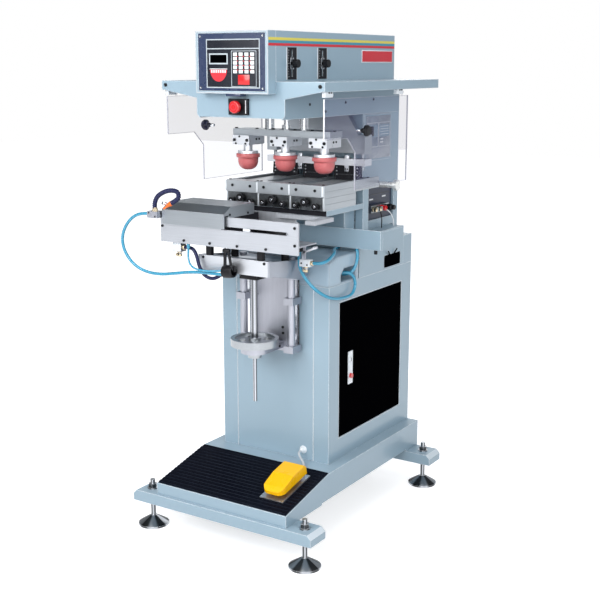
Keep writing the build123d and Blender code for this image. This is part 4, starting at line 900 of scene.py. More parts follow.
LEFT_ROUTE = ((-275, -268, 1011), (-306, -268, 1011), (-345, -264, 998),
              (-379, -260, 970), (-403, -256, 929), (-400, -252, 884),
              (-368, -249, 844), (-320, -246, 823), (-262, -244, 820),
              (-205, -243, 829), (-148, -243, 839), (-90, -243, 844),
              (-24, -243, 844))
RIGHT_ROUTE = ((139.5, -70, 904), (139.5, -74, 879), (146, -76, 850),
               (168, -73, 816), (194, -57, 785), (212, -25, 762),
               (216, 20, 749), (216, 72, 744), (216, 121, 745),
               (216.5, 141, 775), (213.5, 131, 805), (199, 115, 818),
               (175, 104, 813))
SHORT_ROUTE = ((185, -78, 874), (214, -78, 874), (227, -52, 879),
               (219, -12, 887), (204, 32, 892), (172, 80, 891),
               (142, 126, 883), (131, 178, 881))
LINK_ROUTE = ((187, 178, 901), (199, 166, 896), (213, 156, 878),
              (214, 152, 849), (211, 139, 822), (194, 129, 808),
              (175, 126, 806))
FEED_ROUTE = ((-176, -226, 911), (-158, -227, 912), (-139, -229, 908),
              (-126, -231, 888), (-117, -232, 856), (-99, -232, 831),
              (-66, -232, 823), (-35, -232, 840), (-8, -233, 857))
THIN_ROUTE = ((-150, -241, 916), (-150, -242, 902), (-148, -246, 882),
              (-138, -250, 862), (-112, -253, 852), (-70, -253, 851),
              (-32, -249, 855), (-8, -245, 859))
PEDAL_ROUTE = ((160, -107.8, 218.1), (160, -93.2, 221.3), (157, -70, 219), (143, -50, 221),
               (124, -42, 236), (110, -32, 246), (110, -17, 246))
DARK_LEAD = ((168, 386, 976), (171, 387, 968), (173, 388, 954), (173, 388, 938),
             (172, 388, 921))
PALE_LEAD = ((168, 428, 978), (175, 432, 974), (180, 444, 960), (181, 456, 942),
             (180, 462, 921))


@dataclass
class Hoses:
    """The air hoses on and beside the table, the pedal's lead and two thin leads at the valve box."""

    radius: float = 5.0

    def build(self) -> None:
        """Builds the hoses and leads."""
        HoseLine("feed_hose", "", FEED_ROUTE, 0.222, 5.5, HOSE_NAVY, "table").make()
        HoseLine("thin_air_hose", "", THIN_ROUTE, 0.188, 3, HOSE_BLUE, "table").make()
        HoseLine("foot_lead", "pedal_lead", PEDAL_ROUTE, 0.120, 3.5, PALE_LEAD_SKIN, "frame",
                 pieces=[self._gland()]).make()
        HoseLine("dark_valve_lead", "", DARK_LEAD, 0.056, 1.8, BLACK, "frame").make()
        HoseLine("pale_valve_lead", "", PALE_LEAD, 0.070, 1.8, WHITE_PRINT, "frame").make()
        HoseLine("left_air_hose", "hose_left_loop", LEFT_ROUTE, 0.606, self.radius, HOSE_BLUE, "table").make()
        HoseLine("right_air_hose", "hose_right_loop", RIGHT_ROUTE, 0.441, self.radius, HOSE_BLUE,
                 "frame").make_between()
        HoseLine("short_air_hose", "hose_right_short", SHORT_ROUTE, 0.308, self.radius, HOSE_BLUE,
                 "frame").make_between()
        HoseLine("link_air_hose", "hose_right_link", LINK_ROUTE, 0.143, self.radius, HOSE_BLUE, "frame").make()

    @staticmethod
    def _gland() -> bpy.types.Object:
        """The pale gland that the pedal's lead goes into, on the front of the cabinet."""
        profile = [(0, 0), (0, 13), (2.6, 13), (3, 12.4), (3, 9.6), (7, 9.2), (7.6, 8.4), (13, 7), (17, 5),
                   (17, 0)]
        piece = Shape().lathe((110, 0, 246), AHEAD, profile).finish("lead_gland", WHITE_METAL)
        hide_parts("pedal_lead")
        return piece


# Sub-assemblies


TROUGH_X = (-120, 0, 120)
DIVIDER_X = (-180, -60, 60, 180)
PAD_X = (-143, 0, 143)
GUARD_X = 281
GUARD_FRONT = -164
GUARD_OUTLINE = [(GUARD_FRONT, 1246), (-34, 1246), (12, 1203), (12, 1092), (345, 1092), (345, 1360.5),
                 (GUARD_FRONT, 1360.5)]
GUARD_KNOB_Y = 50
GUARD_KNOB_Z = 1264

NODE_FINISHES: dict[str, Finish] = {
    "base_body": BODY, "cross_beams": BODY, "tread_mat": TREAD, "levelling_feet": FOOT,
    "cabinet_shell": BODY, "front_pedestal": ROUND_HIGHLIGHT_BODY, "rear_body": BODY, "deck_fascia": BODY,
    "trough_frame": BODY, "ink_troughs": ALUMINIUM_BACK, "trough_lock_screws": BLACK,
    "upper_column": BODY, "cross_bar": BAR, "valve_box": NAVY_BOX, "valve_fittings": STEEL,
    "slide_back_plate": ALUMINIUM_UP, "head_housing": BODY, "console_box": BODY, "console_panel": NAVY_FILM,
    "wing_shell": BODY, "e_stop_block": BLACK, "guard_brackets": WHITE_METAL, "slot_plates": BLACK_METAL,
    "pedal_base": ALUMINIUM, "pedal_lead": GREY, "table_beam": ALUMINIUM, "slide_carriage": CARRIAGE,
    "standoffs": BLACK, "lead_screw": BRIGHT, "shuttle_front_plate": PLATE, "shuttle_tray": TRAY_STEEL,
    "table_valves": ALUMINIUM_UP, "hose_clamp": BLACK, "air_nozzle": HOSE_NAVY, "shuttle_cover": STEEL,
    "shuttle_slider": BLACK_METAL, "carriage_block": STEEL, "pad_plate": STEEL, "guide_shafts": CHROME,
    "pad_blocks": ALUMINIUM, "pads": SILICONE, "blade_bar": ALUMINIUM, "blade_plates": BLACK_METAL,
    "handwheel": WHEEL, "treadle": YELLOW, "e_stop_button": RED, "cabinet_door": DOOR_AND_SHADE_BLACK,
    "door_lock": WHITE_METAL, "lock_button": RED, "stroke_knob_front": BLACK, "stroke_knob_rear": BLACK,
    "left_guard": ACRYLIC, "right_guard": ACRYLIC, "trough_knob_left": BLACK, "trough_knob_middle": BLACK,
    "trough_knob_right": BLACK,
}


@dataclass
class Head:
    """The head's printed stripes, its plate, and the brackets, borders and scales of the stroke knobs."""

    side_x: float = 127.8
    back_y: float = 542.0
    film: float = 0.4
    slot_y: tuple[float, float] = (-94, 75)

    def build(self) -> None:
        """Builds all of the head's trim."""
        for side in (-1, 1):
            word = "right" if side > 0 else "left"
            x = sorted((side * self.side_x, side * (self.side_x + self.film)))
            for name, finish, low, high in (("yellow", YELLOW_PRINT, 1523, 1531),
                                            ("teal", TEAL_PRINT, 1515, 1523),
                                            ("red", RED_PRINT, 1507.5, 1515)):
                Shape().box(tuple(x), (-213, self.back_y - 1), (low, high)).finish(
                    f"{word}_{name}_stripe", finish)
        self._plate()
        self._brackets()

    def _plate(self) -> None:
        """The bare red plate near the back, with its pale border."""
        x = self.side_x
        Shape().box((x, x + 1.2), (317, 526), (1461, 1501), 0.4).finish("plate_border", WHITE_METAL)
        Shape().box((x + 1, x + 1.6), (320, 523), (1464, 1498)).finish("plate_field", RED_PRINT)

    def _brackets(self) -> None:
        """The C-shaped bracket behind each stroke knob, and the scale beside it."""
        shape = Shape()
        out = self.side_x + 2
        for y in self.slot_y:
            z = 1458.5
            shape.box((out, out + 4), (y - 14, y - 9), (z - 17, z + 17), 0.6)
            shape.box((out, out + 4), (y - 9, y + 4), (z + 12, z + 17), 0.6)
            shape.box((out, out + 4), (y - 9, y + 4), (z - 17, z - 12), 0.6)
        shape.finish("stroke_brackets", BRIGHT)
        borders = Shape()
        for y in self.slot_y:
            for edge in (-26, 26):
                borders.box((self.side_x, self.side_x + 1.6), (y + edge - 1.2, y + edge + 1.2), (1413, 1504))
        borders.finish("slot_borders", WHITE_PRINT)
        marks = Shape()
        for y in self.slot_y:
            for i in range(11):
                z = 1421 + i * 7.5
                marks.box((out, out + 0.3), (y - 21, y - (18 if i % 5 else 15)), (z - 0.5, z + 0.5))
        marks.finish("stroke_scales", WHITE_PRINT)


@dataclass
class Console:
    """The console's printed lines, display, keys, dial, screws and latch."""

    face_y: float = -214.7
    film: float = 0.35

    def build(self) -> None:
        """Builds everything on the console's face."""
        y = (self.face_y - self.film, self.face_y)
        Shape().box((-87, 98), y, (1391, 1525)).finish("console_dark_field", INK_FILM)
        # A pale rim painted as the highlight on the console box's front edges.
        Shape().frame((-127.6, 127.6), (1373.4, 1549.7), (-215.9, -214), 4).finish("console_rim_highlight", GREY_PRINT_AND_RIM_HIGHLIGHT)
        y = (self.face_y - 0.7, self.face_y - 0.2)
        lines = Shape().frame((-89, 100), (1389, 1527), y, 3)
        lines.box((-86, 97), y, (1498.5, 1501.5))
        lines.frame((-79, -12), (1456, 1487), y, 4)
        lines.frame((0.5, 88), (1393, 1494), y, 1.6)
        lines.finish("console_lines", GREY_PRINT_AND_RIM_HIGHLIGHT)
        Shape().box((-75, -16), (self.face_y - 0.6, self.face_y - 0.1), (1460, 1483)).finish(
            "console_display", DOOR_AND_SHADE_BLACK)
        KeyField(4, 5, (14, 74), (1436, 1484), self.face_y - 0.3, 13, 9.5, 0.9).make(
            "console_keys", WHITE_PRINT)
        KeyField(3, 4, (22, 66), (1440, 1478), self.face_y - 1.15, 6, 2, 0.2).make(
            "console_key_marks", RED_PRINT)
        Shape().box((24, 64), (self.face_y - 1.6, self.face_y), (1399, 1427), 0.5).finish(
            "console_red_key", RED)
        self._dial()
        Fasteners("console_screws", CHROME, 3.4, 2).at(
            AHEAD, *[(x, self.face_y - 0.4, z) for x in (-110, 110) for z in (1389, 1535)]).make()
        Shape().box((-22, 30), (-214, -186), (1365.5, 1373), 1).finish("console_latch", NAVY_FILM)

    def _dial(self) -> None:
        """The half disc under the display: a pale rim of ticks over a red sector."""
        middle = (-45.5, 1441)
        y = self.face_y
        half = [(middle[0] + 30 * math.cos(a), middle[1] - 34 * math.sin(a))
                for a in (math.pi * i / 24 for i in range(25))]
        Shape().prism(half, "y", y - 0.7, y - 0.1).finish("console_dial", RED_PRINT)
        ticks = Shape()
        for i in range(7):
            x = middle[0] - 24 + i * 8
            ticks.box((x - 2.4, x + 2.4), (y - 1, y - 0.3), (1432, 1440))
        ticks.box((-77, -14), (y - 0.9, y - 0.2), (1442, 1444))
        ticks.finish("console_dial_ticks", WHITE_PRINT)


@dataclass
class Wings:
    """The wings' and hinges' screws, the guards' knobs and edges, the stop button's ring, the control plate."""

    front_y: float = -175.5
    skirt_x: float = 150.0

    def build(self) -> None:
        """Builds the trim of the wings."""
        Fasteners("wing_bolts", BLACK, 5.5, 3).at(
            AHEAD, (-276, self.front_y, 1395), (276, self.front_y, 1395)).make()
        self._hinges()
        self._guards()
        self._stop()
        self._controls()
        Fasteners("skirt_screws", BLACK, 4, 2).at(
            RIGHT, *[(self.skirt_x, y, z) for y, z in ((-30, 1340), (60, 1316), (180, 1340), (360, 1345))]).make()

    def _hinges(self) -> None:
        """Two screws on each bracket that carries a guard."""
        screws = Fasteners("hinge_screws", BLACK, 3.4, 1.6)
        for side in (-1, 1):
            spots = [(side * 287, y + dy, 1379) for y in (-145, 282) for dy in (-2, 10)]
            screws.at((side, 0, 0), *spots)
        screws.make()

    @staticmethod
    def _guards() -> None:
        """The guards' black knobs with their stems, and the light that their sawn edges catch."""
        for side, body in ((-1, "left_guard"), (1, "right_guard")):
            x = side * GUARD_X
            knob = Shape().lathe((x, GUARD_KNOB_Y, GUARD_KNOB_Z), (side, 0, 0), [
                (1.9, 0), (1.9, 7), (9, 7.6), (12, 10.5), (15, 17), (22, 17), (28.2, 12.6), (28.6, 0)])
            knob.finish(body + "_knob", BLACK, body)
            Shape().rod((x - side * 2, GUARD_KNOB_Y, GUARD_KNOB_Z), (x - side * 16, GUARD_KNOB_Y, GUARD_KNOB_Z),
                        5, 1, 20).finish(body + "_stem", PLATED, body)
            front = Shape()
            rim = Shape()
            for (y0, z0), (y1, z1) in zip(GUARD_OUTLINE, GUARD_OUTLINE[1:] + GUARD_OUTLINE[:1]):
                way = Vector((0, y1 - y0, z1 - z0)).normalized()
                out = Vector((0, way.z, -way.y)) * 0.4
                shape = front if side > 0 and y0 == y1 == GUARD_FRONT else rim
                corners = [(y0 - out.y, z0 - out.z), (y1 - out.y, z1 - out.z), (y1 + out.y, z1 + out.z),
                           (y0 + out.y, z0 + out.z)]
                shape.prism(corners, "x", x - 2.1, x + 2.1)
            if side > 0:
                front.finish(body + "_front_edge", SHEET_EDGE, body)
            rim.finish(body + "_edges", SHEET_RIM, body)

    def _stop(self) -> None:
        """The white edges of the stop button's block and the plain red ring on the button."""
        y = self.front_y - 10
        Shape().box((27, 29.5), (y - 0.5, y + 0.1), (1316, 1354)).box(
            (-34.6, -33.9), (y + 1, y + 9), (1312, 1358)).finish("stop_block_edges", WHITE_PRINT)
        front = y - 22
        ring = Shape().lathe((0, front, 1335), AHEAD, [(-0.5, 7), (0.5, 7.2), (0.5, 10.5), (-0.5, 10.8)])
        ring.finish("stop_ring", RED_PRINT, "stop_button")

    def _controls(self) -> None:
        """The control plate on the column's side: its dark fields, a switch, pale marks and screws."""
        x = 149.5
        Shape().box((x, x + 0.8), (314, 481), (1152, 1291), 0.3).finish("control_face", PANEL_GREY)
        dark = Shape().box((x + 0.6, x + 1.4), (322, 392), (1222, 1262))
        dark.box((x + 0.6, x + 1.4), (402, 474), (1222, 1262))
        dark.finish("control_fields", BODY_INSIDE)
        Shape().box((x + 1, x + 9), (330, 352), (1226, 1258), 1.5).finish("control_switch", BLACK)
        marks = Shape()
        for i in range(4):
            z = 1230 + i * 8.5
            marks.box((x + 1.2, x + 1.7), (410, 466), (z - 0.6, z + 0.6))
        for y0, y1 in ((319, 395), (399, 477)):
            for z in (1190, 1268):
                marks.box((x + 0.7, x + 1.6), (y0, y1), (z, z + 1.2))
            for y in (y0, y1 - 1.2):
                marks.box((x + 0.7, x + 1.6), (y, y + 1.2), (1190, 1269.2))
            for z in (1202, 1212):
                marks.box((x + 0.7, x + 1.6), (y0 + 12, y0 + 30), (z, z + 4))
        marks.finish("control_marks", WHITE_PRINT)
        Fasteners("control_screws", CHROME, 2.6, 1.4).at(
            RIGHT, *[(x + 0.8, y, z) for y in (318, 477) for z in (1156, 1287)]).make()


@dataclass
class Troughs:
    """The ink troughs' screws, white dividers, plates, dark lower faces and the caps of their knobs."""

    front_y: float = 2.0

    def build(self) -> None:
        """Builds the trim of the troughs."""
        for_plates = Fasteners("trough_screws", BLACK, 4.6, 2.4)
        small = Fasteners("trough_small_screws", STEEL, 2.6, 1.4)
        for x in TROUGH_X:
            for_plates.at(AHEAD, (x - 34, -6, 1082), (x + 34, -6, 1082))
            small.at(AHEAD, (x - 50, 6, 1052), (x + 50, 6, 1052), (x - 18, 6, 1028),
                     (x + 18, 6, 1028), (x + 48, 6, 1026))
            for_plates.at(UP, *[(x + dx, y, 1098) for dx in (-53.5, 53.5) for y in (10, 288)])
        for_plates.make()
        small.make()
        white = Shape()
        for x in DIVIDER_X:
            white.box((x - 3, x + 3), (self.front_y - 0.6, self.front_y), (1021, 1097), 0.2)
            white.box((x - 2.6, x + 2.6), (-6.9, self.front_y), (1064, 1096), 0.2)
        white.finish("divider_faces", WHITE_METAL)
        plates = Shape()
        for x in TROUGH_X:
            plates.box((x - 47, x + 47), (36, 240), (1090, 1090.25))
        plates.finish("printing_plates", TRAY_PLATE)
        self._faces()

    def _faces(self) -> None:
        """The darker lower faces, and the silver caps of the knobs and lock screws."""
        faces = Shape()
        for x in TROUGH_X:
            faces.box((x - 56, x + 56), (1.5, 2.1), (1022, 1061))
        faces.finish("trough_faces", TROUGH_FACE)
        for word in ("left", "middle", "right"):
            low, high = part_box("trough_knob_" + word)
            x = (low[0] + high[0]) * 500
            z = (low[2] + high[2]) * 500
            y = drawn(low[1])
            cap = Shape().lathe((x, y + 0.4, z), AHEAD, [(0, 0), (0, 5), (1.2, 5), (2, 4), (2, 0)], 20)
            cap.finish(f"trough_knob_{word}_cap", PLATED, "trough_knob_" + word)
        low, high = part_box("trough_lock_screws")
        y = drawn(low[1])
        caps = Shape()
        for x in TROUGH_X:
            for dx in (-36, 36):
                caps.lathe((x + dx, y + 0.4, 1034), AHEAD, [(0, 0), (0, 4.6), (1, 4.6), (1.6, 3.8), (1.6, 0)], 6)
        caps.finish("lock_screw_caps", PLATED)


@dataclass
class Table:
    """The shuttle table's bolts, its pale patch and the screws of the shuttle's cover."""

    plate_y: float = -250.0

    def build(self) -> None:
        """Builds the trim of the table."""
        bolts = Fasteners("table_bolts", BLACK, 4.2, 2.4, "table")
        bolts.at(AHEAD, *[(x, self.plate_y, 936) for x in (-160, -62, 38, 140)])
        bolts.at(AHEAD, (239, self.plate_y, 1005), (239, self.plate_y, 955),
                 (-242, self.plate_y, 975))
        bolts.at(AHEAD, (-112, -218, 886), (112, -218, 886))
        bolts.make()
        Shape().box((60, 84), (self.plate_y - 0.8, self.plate_y + 4), (982, 990), 0.8).finish(
            "follower_patch", WHITE_METAL, "table")
        cover = Fasteners("cover_screws", BLACK, 3.6, 2, "shuttle")
        cover.at(RIGHT, (0, -232, 1024), (0, -140, 1020))
        cover.make()


@dataclass
class Nozzle:
    """The jointed air nozzle on the left end of the table, with its collar, orange tip and clamp screw."""

    y: float = -273.0
    body: str = "table"

    def build(self) -> None:
        """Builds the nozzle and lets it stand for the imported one."""
        spots = [(-250, 1021), (-250, 1046), (-238, 1067), (-212, 1082), (-184, 1088),
                 (-161, 1084), (-160, 1066), (-189, 1048)]
        pieces = [LinkHose([(x, self.y, z) for x, z in spots], 7.4, 5.6).make("nozzle_links", HOSE_NAVY, self.body)]
        collar = Shape().lathe((-250, self.y, 1021), UP, [(0, 0), (0, 9.2), (5, 9.2), (5.6, 8.6), (9, 8.6),
                                                          (9.6, 7.4), (12, 7.4), (12, 0)], 12)
        pieces.append(collar.finish("nozzle_collar", BRASS, self.body, 20))
        tip = [(0, 0), (0, 7.4), (9, 7.4), (10, 6.4), (14, 6), (15, 5.2), (24, 4.4), (25, 3.8), (37, 3.2), (37, 0)]
        pieces.append(Shape().lathe((-184, self.y, 1051), (-29, 0, -18), tip, 24).finish(
            "nozzle_tip", ORANGE, self.body))
        knob = Shape().rod((-211, self.y + 4, 1047), (-211, self.y - 8, 1050), 6, 1.2, 14)
        knob.rod((-222, self.y, 1046), (-203, self.y, 1047.5), 4, 0.8, 14)
        pieces.append(knob.finish("nozzle_screw", PLATED, self.body))
        for piece in pieces:
            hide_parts("air_nozzle")


@dataclass
class Valves:
    """The air valves under the table, the hose strap, and the connectors on the valve box."""

    def build(self) -> None:
        """Builds the fittings and the strap."""
        self._left()
        self._right()
        self._strap()
        self._connectors()

    @staticmethod
    def _elbow(shape: Shape, spot: Point, drop: float) -> None:
        """Adds a fitting that hangs from a valve: a nut, a neck and a push-in sleeve."""
        x, y, z = spot
        shape.lathe((x, y, z), DOWN, [(0, 0), (0, 7.6), (4.5, 7.6), (5.2, 6.8), (5.4, 5.6), (9, 5.6), (9.4, 7),
                                      (drop - 1, 7), (drop, 6), (drop, 0)], 6)

    def _left(self) -> None:
        """The left valve's cover plate, side sleeve and elbow, and the manifold's screws."""
        block = Shape().box((-213.3, -182.7), (-237.6, -236.4), (898, 926.4), 0.3)
        block.box((-214.2, -212.8), (-236, -212), (900, 924), 0.3)
        block.finish("left_valve_cover", WHITE_METAL, "table")
        brass = Shape().rod((-182.8, -226, 911), (-174, -226, 911), 8.4, 1, 16)
        self._elbow(brass, (-198, -224, 897.2), 17)
        brass.rod((-198, -231, 888), (-198, -240, 888), 4.4, 0.8, 12)
        brass.finish("left_valve_fittings", BRASS, "table")
        Shape().rod((-275.4, -268, 1011), (-283, -268, 1011), 7.4, 1, 16).rod(
            (-150, -241, 927.4), (-150, -241, 912), 5.2, 1.2, 16).finish("hose_sleeves", HOSE_BLUE, "table")
        Fasteners("manifold_screws", BLACK, 2.6, 1.4, "table").at(
            AHEAD, (-268, -282, 1016), (-244, -282, 1006)).make()

    def _right(self) -> None:
        """The right valve's white cover, brass elbow and bent bracket."""
        Shape().box((150.6, 185.4), (-88.5, -67.5), (862.6, 884.4), 0.8).finish(
            "right_valve_cover", WHITE_METAL, "table")
        Fasteners("right_valve_screws", BLACK, 2.6, 1.2, "table").at(
            AHEAD, (158, -88.6, 873), (178, -88.6, 869)).make()
        brass = Shape()
        self._elbow(brass, (168, -78, 862.6), 18)
        brass.rod((168, -84, 852), (168, -92, 852), 4.2, 0.8, 12)
        brass.rod((185.2, -78, 874), (194, -78, 874), 7.2, 1, 16)
        brass.finish("right_valve_fittings", BRASS, "table")
        arm = Shape().prism([(164, 884.4), (164, 903), (205, 919), (205, 926.6), (198, 926.6),
                             (198, 923), (160, 908), (160, 884.4)], "y", -88, -72, 0.5)
        arm.finish("right_valve_bracket", ALUMINIUM, "table")
        dark = Shape().box((129, 150), (-84, -56), (904.5, 926.6), 1.5)
        dark.rod((150, -74, 915), (157, -74, 915), 5, 0.8, 14)
        dark.finish("right_hose_block", BLACK, "table")

    @staticmethod
    def _strap() -> None:
        """The black strap: a band round both hoses, held by two legs under a ring."""
        profile = [(0, 15), (0, 17.5), (1.5, 19), (17, 20), (34, 19), (36, 17.5), (36, 15)]
        band = Shape().lathe((-20, -237, 853), (1, 0, 0.12), profile + [profile[0]], 28)
        band.prism([(-17, 862), (-7, 864), (-7, 925), (-15, 925)], "y", -246, -240, 1.5)
        band.prism([(8, 864), (17, 860), (3, 925), (-4, 925)], "y", -246, -240, 1.5)
        band.rod((-18, -243, 918), (6, -243, 918), 6, 2, 18)
        band.box((-16, 14), (-233, -218.4), (853, 869), 1.5)
        piece = band.finish("hose_strap", BLACK, "table")
        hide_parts("hose_clamp")

    @staticmethod
    def _connectors() -> None:
        """The red, black and plain connectors on the valve box, its labels' pale strips and its seams."""
        plain = Shape()
        for y in (386, 356):
            plain.lathe((155, y, 985), RIGHT,
                        [(-1, 0), (-1, 9.4), (6, 9.4), (7, 8), (16, 8), (17, 6), (17, 0)], 6)
        plain.finish("plain_connectors", BRASS)
        red = Shape().lathe((155, 416, 985), RIGHT,
                            [(-1, 0), (-1, 10), (8, 10), (9, 8.6), (19, 8.6), (20, 7), (20, 0)], 20)
        red.finish("red_connector", RED)
        black = Shape().lathe((155, 446, 985), RIGHT,
                              [(-1, 0), (-1, 9), (9, 9), (9.5, 11), (24, 11), (26, 9), (36, 8), (36, 0)], 20)
        black.finish("black_connector", BLACK)
        strips = Shape().box((140, 141), (358, 384), (1013, 1018), 0.2)
        strips.box((140, 141), (446, 472), (1017, 1022), 0.2)
        strips.finish("valve_box_strips", WHITE_PRINT)
        seams = Shape().box((140, 140.8), (306, 500), (1030, 1032)).box(
            (140, 140.8), (306, 500), (968, 969))
        seams.finish("valve_box_seams", INK_FILM)


@dataclass
class Slide:
    """The screws, cap and guide rails of the vertical slide under the table."""

    def build(self) -> None:
        """Builds the trim of the slide."""
        screws = Fasteners("slide_screws", BLACK, 4.2, 2.2)
        screws.at(AHEAD, (38, -8, 643), (38, -8, 624), (60, -8, 740), (-60, -8, 740),
                  (60, -8, 590), (-60, -8, 590))
        screws.at(AHEAD, (37, -8, 643), (39, -8, 624)).at(RIGHT, (44, -37, 588))
        screws.make()
        Shape().box((-33, 33), (-143, -77), (815, 832), 1.5).finish("screw_cap", BLACK, "table")
        rails = Shape()
        backs = Shape()
        for side in (-1, 1):
            rails.box(tuple(sorted((side * 96.5, side * 100))), (-11.6, -8.4), (579, 868), 0.4)
            backs.box(tuple(sorted((side * 82, side * 96.4))), (-11.6, -7.9), (579, 868), 0.6)
        rails.finish("guide_rails", BLACK_METAL)
        backs.finish("guide_backs", PLATED)


@dataclass
class PrintHead:
    """The screws of the pad plate, blocks and blades, the posts on the blades, and the pads."""

    def build(self) -> None:
        """Builds the trim of the print head."""
        plate = Fasteners("pad_plate_screws", BLACK, 5, 3, "pad_unit")
        for x in PAD_X:
            plate.at(AHEAD, (x - 24, 26, 1222), (x + 24, 26, 1222))
            plate.at(UP, (x - 40, 60, 1257), (x + 40, 60, 1257))
        plate.make()
        blocks = Fasteners("pad_block_screws", BLACK, 3.4, 1.6, "pad_unit")
        dots = Fasteners("blade_screws", WHITE_METAL, 2.2, 1, "blade_unit")
        posts = Shape()
        for x in PAD_X:
            blocks.at(AHEAD, (x - 5, 26, 1233), (x - 19, 26, 1211), (x + 18, 26, 1211))
            blocks.at(RIGHT, (x + 32, 66, 1224), (x + 32, 82, 1224))
        low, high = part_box("blade_plates")
        front = drawn(low[1])
        for x in TROUGH_X:
            dots.at(AHEAD, *[(x + dx, front, z) for dx in (-38, 38) for z in (1108, 1119, 1130)])
        for x in (-60, 60, 118):
            posts.box((x - 8, x + 8), (front - 1, front + 8), (1118, 1170), 0.8)
        posts.finish("blade_posts", ALUMINIUM, "blade_unit")
        small = Fasteners("blade_post_screws", BLACK, 2.4, 1.2, "blade_unit")
        small.at(AHEAD, *[(x + dx, front - 1, z) for x in (-60, 60, 118) for dx in (-4, 4)
                          for z in (1126, 1141, 1156)])
        for tool in (blocks, dots, small):
            tool.make()
        self._pads()

    @staticmethod
    def _pads() -> None:
        """The silicone pads: a flange under each cup, a short skirt and a round printing face."""
        profile = [(0, 0), (0, 36.4), (0.8, 37.6), (2, 38), (10.6, 38), (12, 37.4), (12.6, 36.2),
                   (12.8, 33.6), (13.6, 32.6), (20, 32.4)]
        for i in range(13):
            turn = math.pi / 2 * i / 12
            profile.append((24 + 28 * math.sin(turn), 32.2 * math.cos(turn) ** 0.75 if i < 12 else 0))
        for x, word in zip(PAD_X, ("left", "middle", "right")):
            pad = Shape().lathe((x, 66, 1178), DOWN, profile, 48)
            piece = pad.finish(f"pad_{word}", SILICONE, "pad_unit", 50)
            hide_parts("pads")


@dataclass
class Cabinet:
    """The lock's screws and key slot, the cabinet's pale lines (the two on the front are painted highlights along the
    front panel's edges), and higher up dark sheets of painted shade in a slot and a notch, a dark peg and a dark
    strip.
    """

    def build(self) -> None:
        """Builds the trim of the cabinet."""
        Fasteners("lock_screws", CHROME, 2.4, 1.2, "door").at(
            RIGHT, (206, 131, 552), (206, 131, 454)).make()
        Shape().box((208.4, 209), (130, 132), (524, 536)).finish("key_slot", BLACK_METAL, "door")
        border = Shape()
        x = (203.5, 203.9)
        for y in ((59.6, 61), (482, 483.4)):
            border.box(x, y, (280.6, 730.4))
        for z in ((280.6, 282), (729, 730.4)):
            border.box(x, (61, 482), z)
        # Two pale lines painted as highlights along the edges of the front panel.
        for side in (-147.6, 146.4):
            border.box((side, side + 1.4), (-0.4, 0.1), (214, 785))
        border.finish("cabinet_pale_lines", WHITE_METAL)
        # A dark sheet painted as shade in the slot on the body's side, with two thin dark rods out of it.
        slot = Shape().box((196, 203.2), (356, 466), (793, 833))
        slot.rod((203, 400, 824), (212, 366, 848), 2.2, 0.4, 10)
        slot.rod((203, 410, 824), (212, 428, 850), 2.2, 0.4, 10)
        slot.finish("slot_painted_shade", DOOR_AND_SHADE_BLACK)
        Shape().box((144, 144.6), (70, 162), (793, 831)).finish("notch_shade", DOOR_AND_SHADE_BLACK)
        Shape().rod((281, 151, 888.2), (281, 151, 876), 5.5, 1, 18).finish("deck_peg", BLACK)
        Shape().box((-183, 183), (13.2, 14.2), (1003, 1020.2)).finish("bed_strip", BLACK_METAL)


# Studio


WHITE = (1.0, 1.0, 1.0, 1.0)
FLOOR_REACH = 14.0
AIM = Vector((0.0, 0.0, 0.85))
LAMPS = (("key", (-1.9, -3.1, 3.3), 1.9, 33.0), ("side", (3.4, -1.2, 2.3), 2.2, 50.0),
         ("front", (0.9, -3.0, 2.1), 1.4, 34.0), ("top", (0.0, 0.3, 4.0), 2.4, 40.0),
         ("back", (-1.4, 3.2, 2.6), 2.0, 36.0), ("brow", (-0.5, -2.3, 1.9), 1.2, 28.0),
         ("low", (1.7, -2.1, 1.0), 0.8, 7.0))


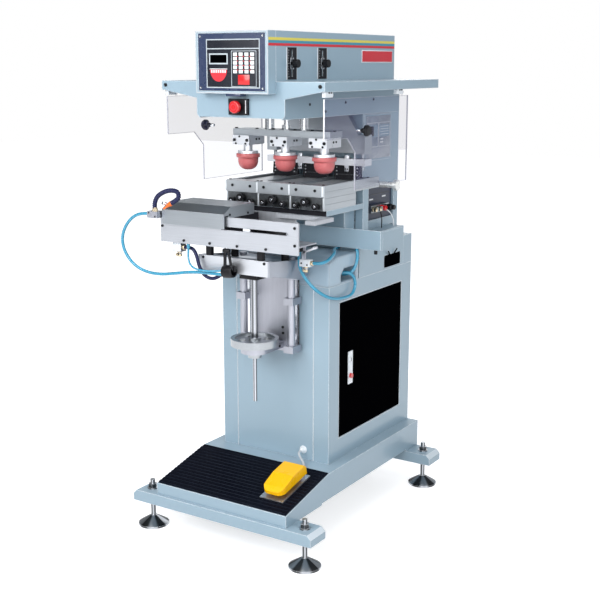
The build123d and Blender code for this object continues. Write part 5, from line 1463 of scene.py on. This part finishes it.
@dataclass
class Studio:
    """The pale floor and backdrop, the lamps and the camera."""

    azimuth: float = 32.6165
    pitch: float = 12.3491
    place: Point = (1869.18, -2769.93, 1456.24)
    lens: float = 64.606

    def build(self) -> None:
        """Sets up everything round the machine."""
        self._floor()
        self._world()
        for lamp in LAMPS:
            self._lamp(*lamp)
        self._camera()
        bpy.context.scene.view_settings.view_transform = "Standard"

    def _floor(self) -> None:
        """A wide pale floor that keeps the machine's shadow."""
        mesh = bpy.data.meshes.new("floor")
        corners = [(x * FLOOR_REACH, y * FLOOR_REACH, 0) for x, y in ((-1, -1), (1, -1), (1, 1), (-1, 1))]
        mesh.from_pydata(corners, [], [(0, 1, 2, 3)])
        floor = linked("floor", mesh)
        material = bpy.data.materials.new("pale floor")
        graph = emptied(material)
        matt = graph.add("ShaderNodeBsdfDiffuse", {"Color": (0.62, 0.62, 0.63, 1.0)})
        pale = graph.spread(graph.vectors("LENGTH", graph.place()), (0.45, 1.6), (0.66, 1.0))
        glow = graph.add("ShaderNodeEmission", {"Color": WHITE, "Strength": pale})
        ray = graph.add("ShaderNodeLightPath").outputs
        seen = graph.math("MAXIMUM", ray["Is Camera Ray"], ray["Is Glossy Ray"])
        shown = graph.math("MAXIMUM", seen, ray["Is Transmission Ray"])
        dark = graph.add("ShaderNodeEmission", {"Strength": 0.0})
        pick = graph.add("ShaderNodeMixShader", {0: shown, 1: dark.outputs[0], 2: glow.outputs[0]})
        both = graph.add("ShaderNodeAddShader", {0: matt.outputs[0], 1: pick.outputs[0]})
        graph.add("ShaderNodeOutputMaterial", {"Surface": both.outputs[0]})
        mesh.materials.append(material)

    def _world(self) -> None:
        """A white surround for the camera, and a softer one for what it lights."""
        world = bpy.data.worlds.new("surround")
        bpy.context.scene.world = world
        graph = emptied(world)
        ray = graph.add("ShaderNodeLightPath").outputs
        shown = graph.math("MAXIMUM", ray["Is Camera Ray"], ray["Is Transmission Ray"])
        white = graph.add("ShaderNodeBackground", {"Color": WHITE, "Strength": 1.0})
        way = graph.axes(graph.place("Generated"))
        rise = graph.spread(graph.math("ABSOLUTE", way["Z"]), (0.02, 0.75), (0.62, 0.24))
        level = graph.math("MULTIPLY", rise, graph.spread(way["X"], (-1.0, 0.5), (0.35, 1.0)))
        seen = graph.add("ShaderNodeBackground", {"Color": (0.90, 0.95, 1.0, 1.0), "Strength": level})
        dim = graph.add("ShaderNodeBackground", {"Color": (0.88, 0.94, 1.0, 1.0), "Strength": 0.40})
        soft = graph.add("ShaderNodeMixShader", {0: ray["Is Glossy Ray"], 1: dim.outputs[0], 2: seen.outputs[0]})
        pick = graph.add("ShaderNodeMixShader", {0: shown, 1: soft.outputs[0], 2: white.outputs[0]})
        graph.add("ShaderNodeOutputWorld", {"Surface": pick.outputs[0]})

    @staticmethod
    def _lamp(name: str, spot: Point, size: float, power: float) -> None:
        """One square soft lamp, turned to the middle of the machine."""
        lamp = bpy.data.lights.new(name, "AREA")
        lamp.size = size
        lamp.energy = power
        item = linked(name, lamp)
        item.location = spot
        way = AIM - Vector(spot)
        item.rotation_euler = way.to_track_quat("-Z", "Y").to_euler()

    def _camera(self) -> None:
        """The camera, where the photograph was taken from."""
        camera = bpy.data.cameras.new("camera")
        camera.sensor_width = 36.0
        camera.lens = self.lens
        item = linked("camera", camera)
        item.location = placed(self.place)
        item.rotation_euler = (math.radians(90.0 - self.pitch), 0.0, math.radians(self.azimuth))
        bpy.context.scene.camera = item


def main() -> None:
    """Builds the studio, the hoses, the finishes and the trim in that order."""
    logging.basicConfig(level=logging.INFO, format="%(name)s %(message)s")
    Studio().build()
    Hoses().build()
    for node, finish in NODE_FINISHES.items():
        wear(node, finish)
    for part in (Cabinet(), Slide(), Table(), Nozzle(), Valves(), Troughs(), PrintHead(), Wings(), Console(),
                 Head()):
        LOG.info("building %s", type(part).__name__)
        part.build()


if __name__ == "__main__":
    main()
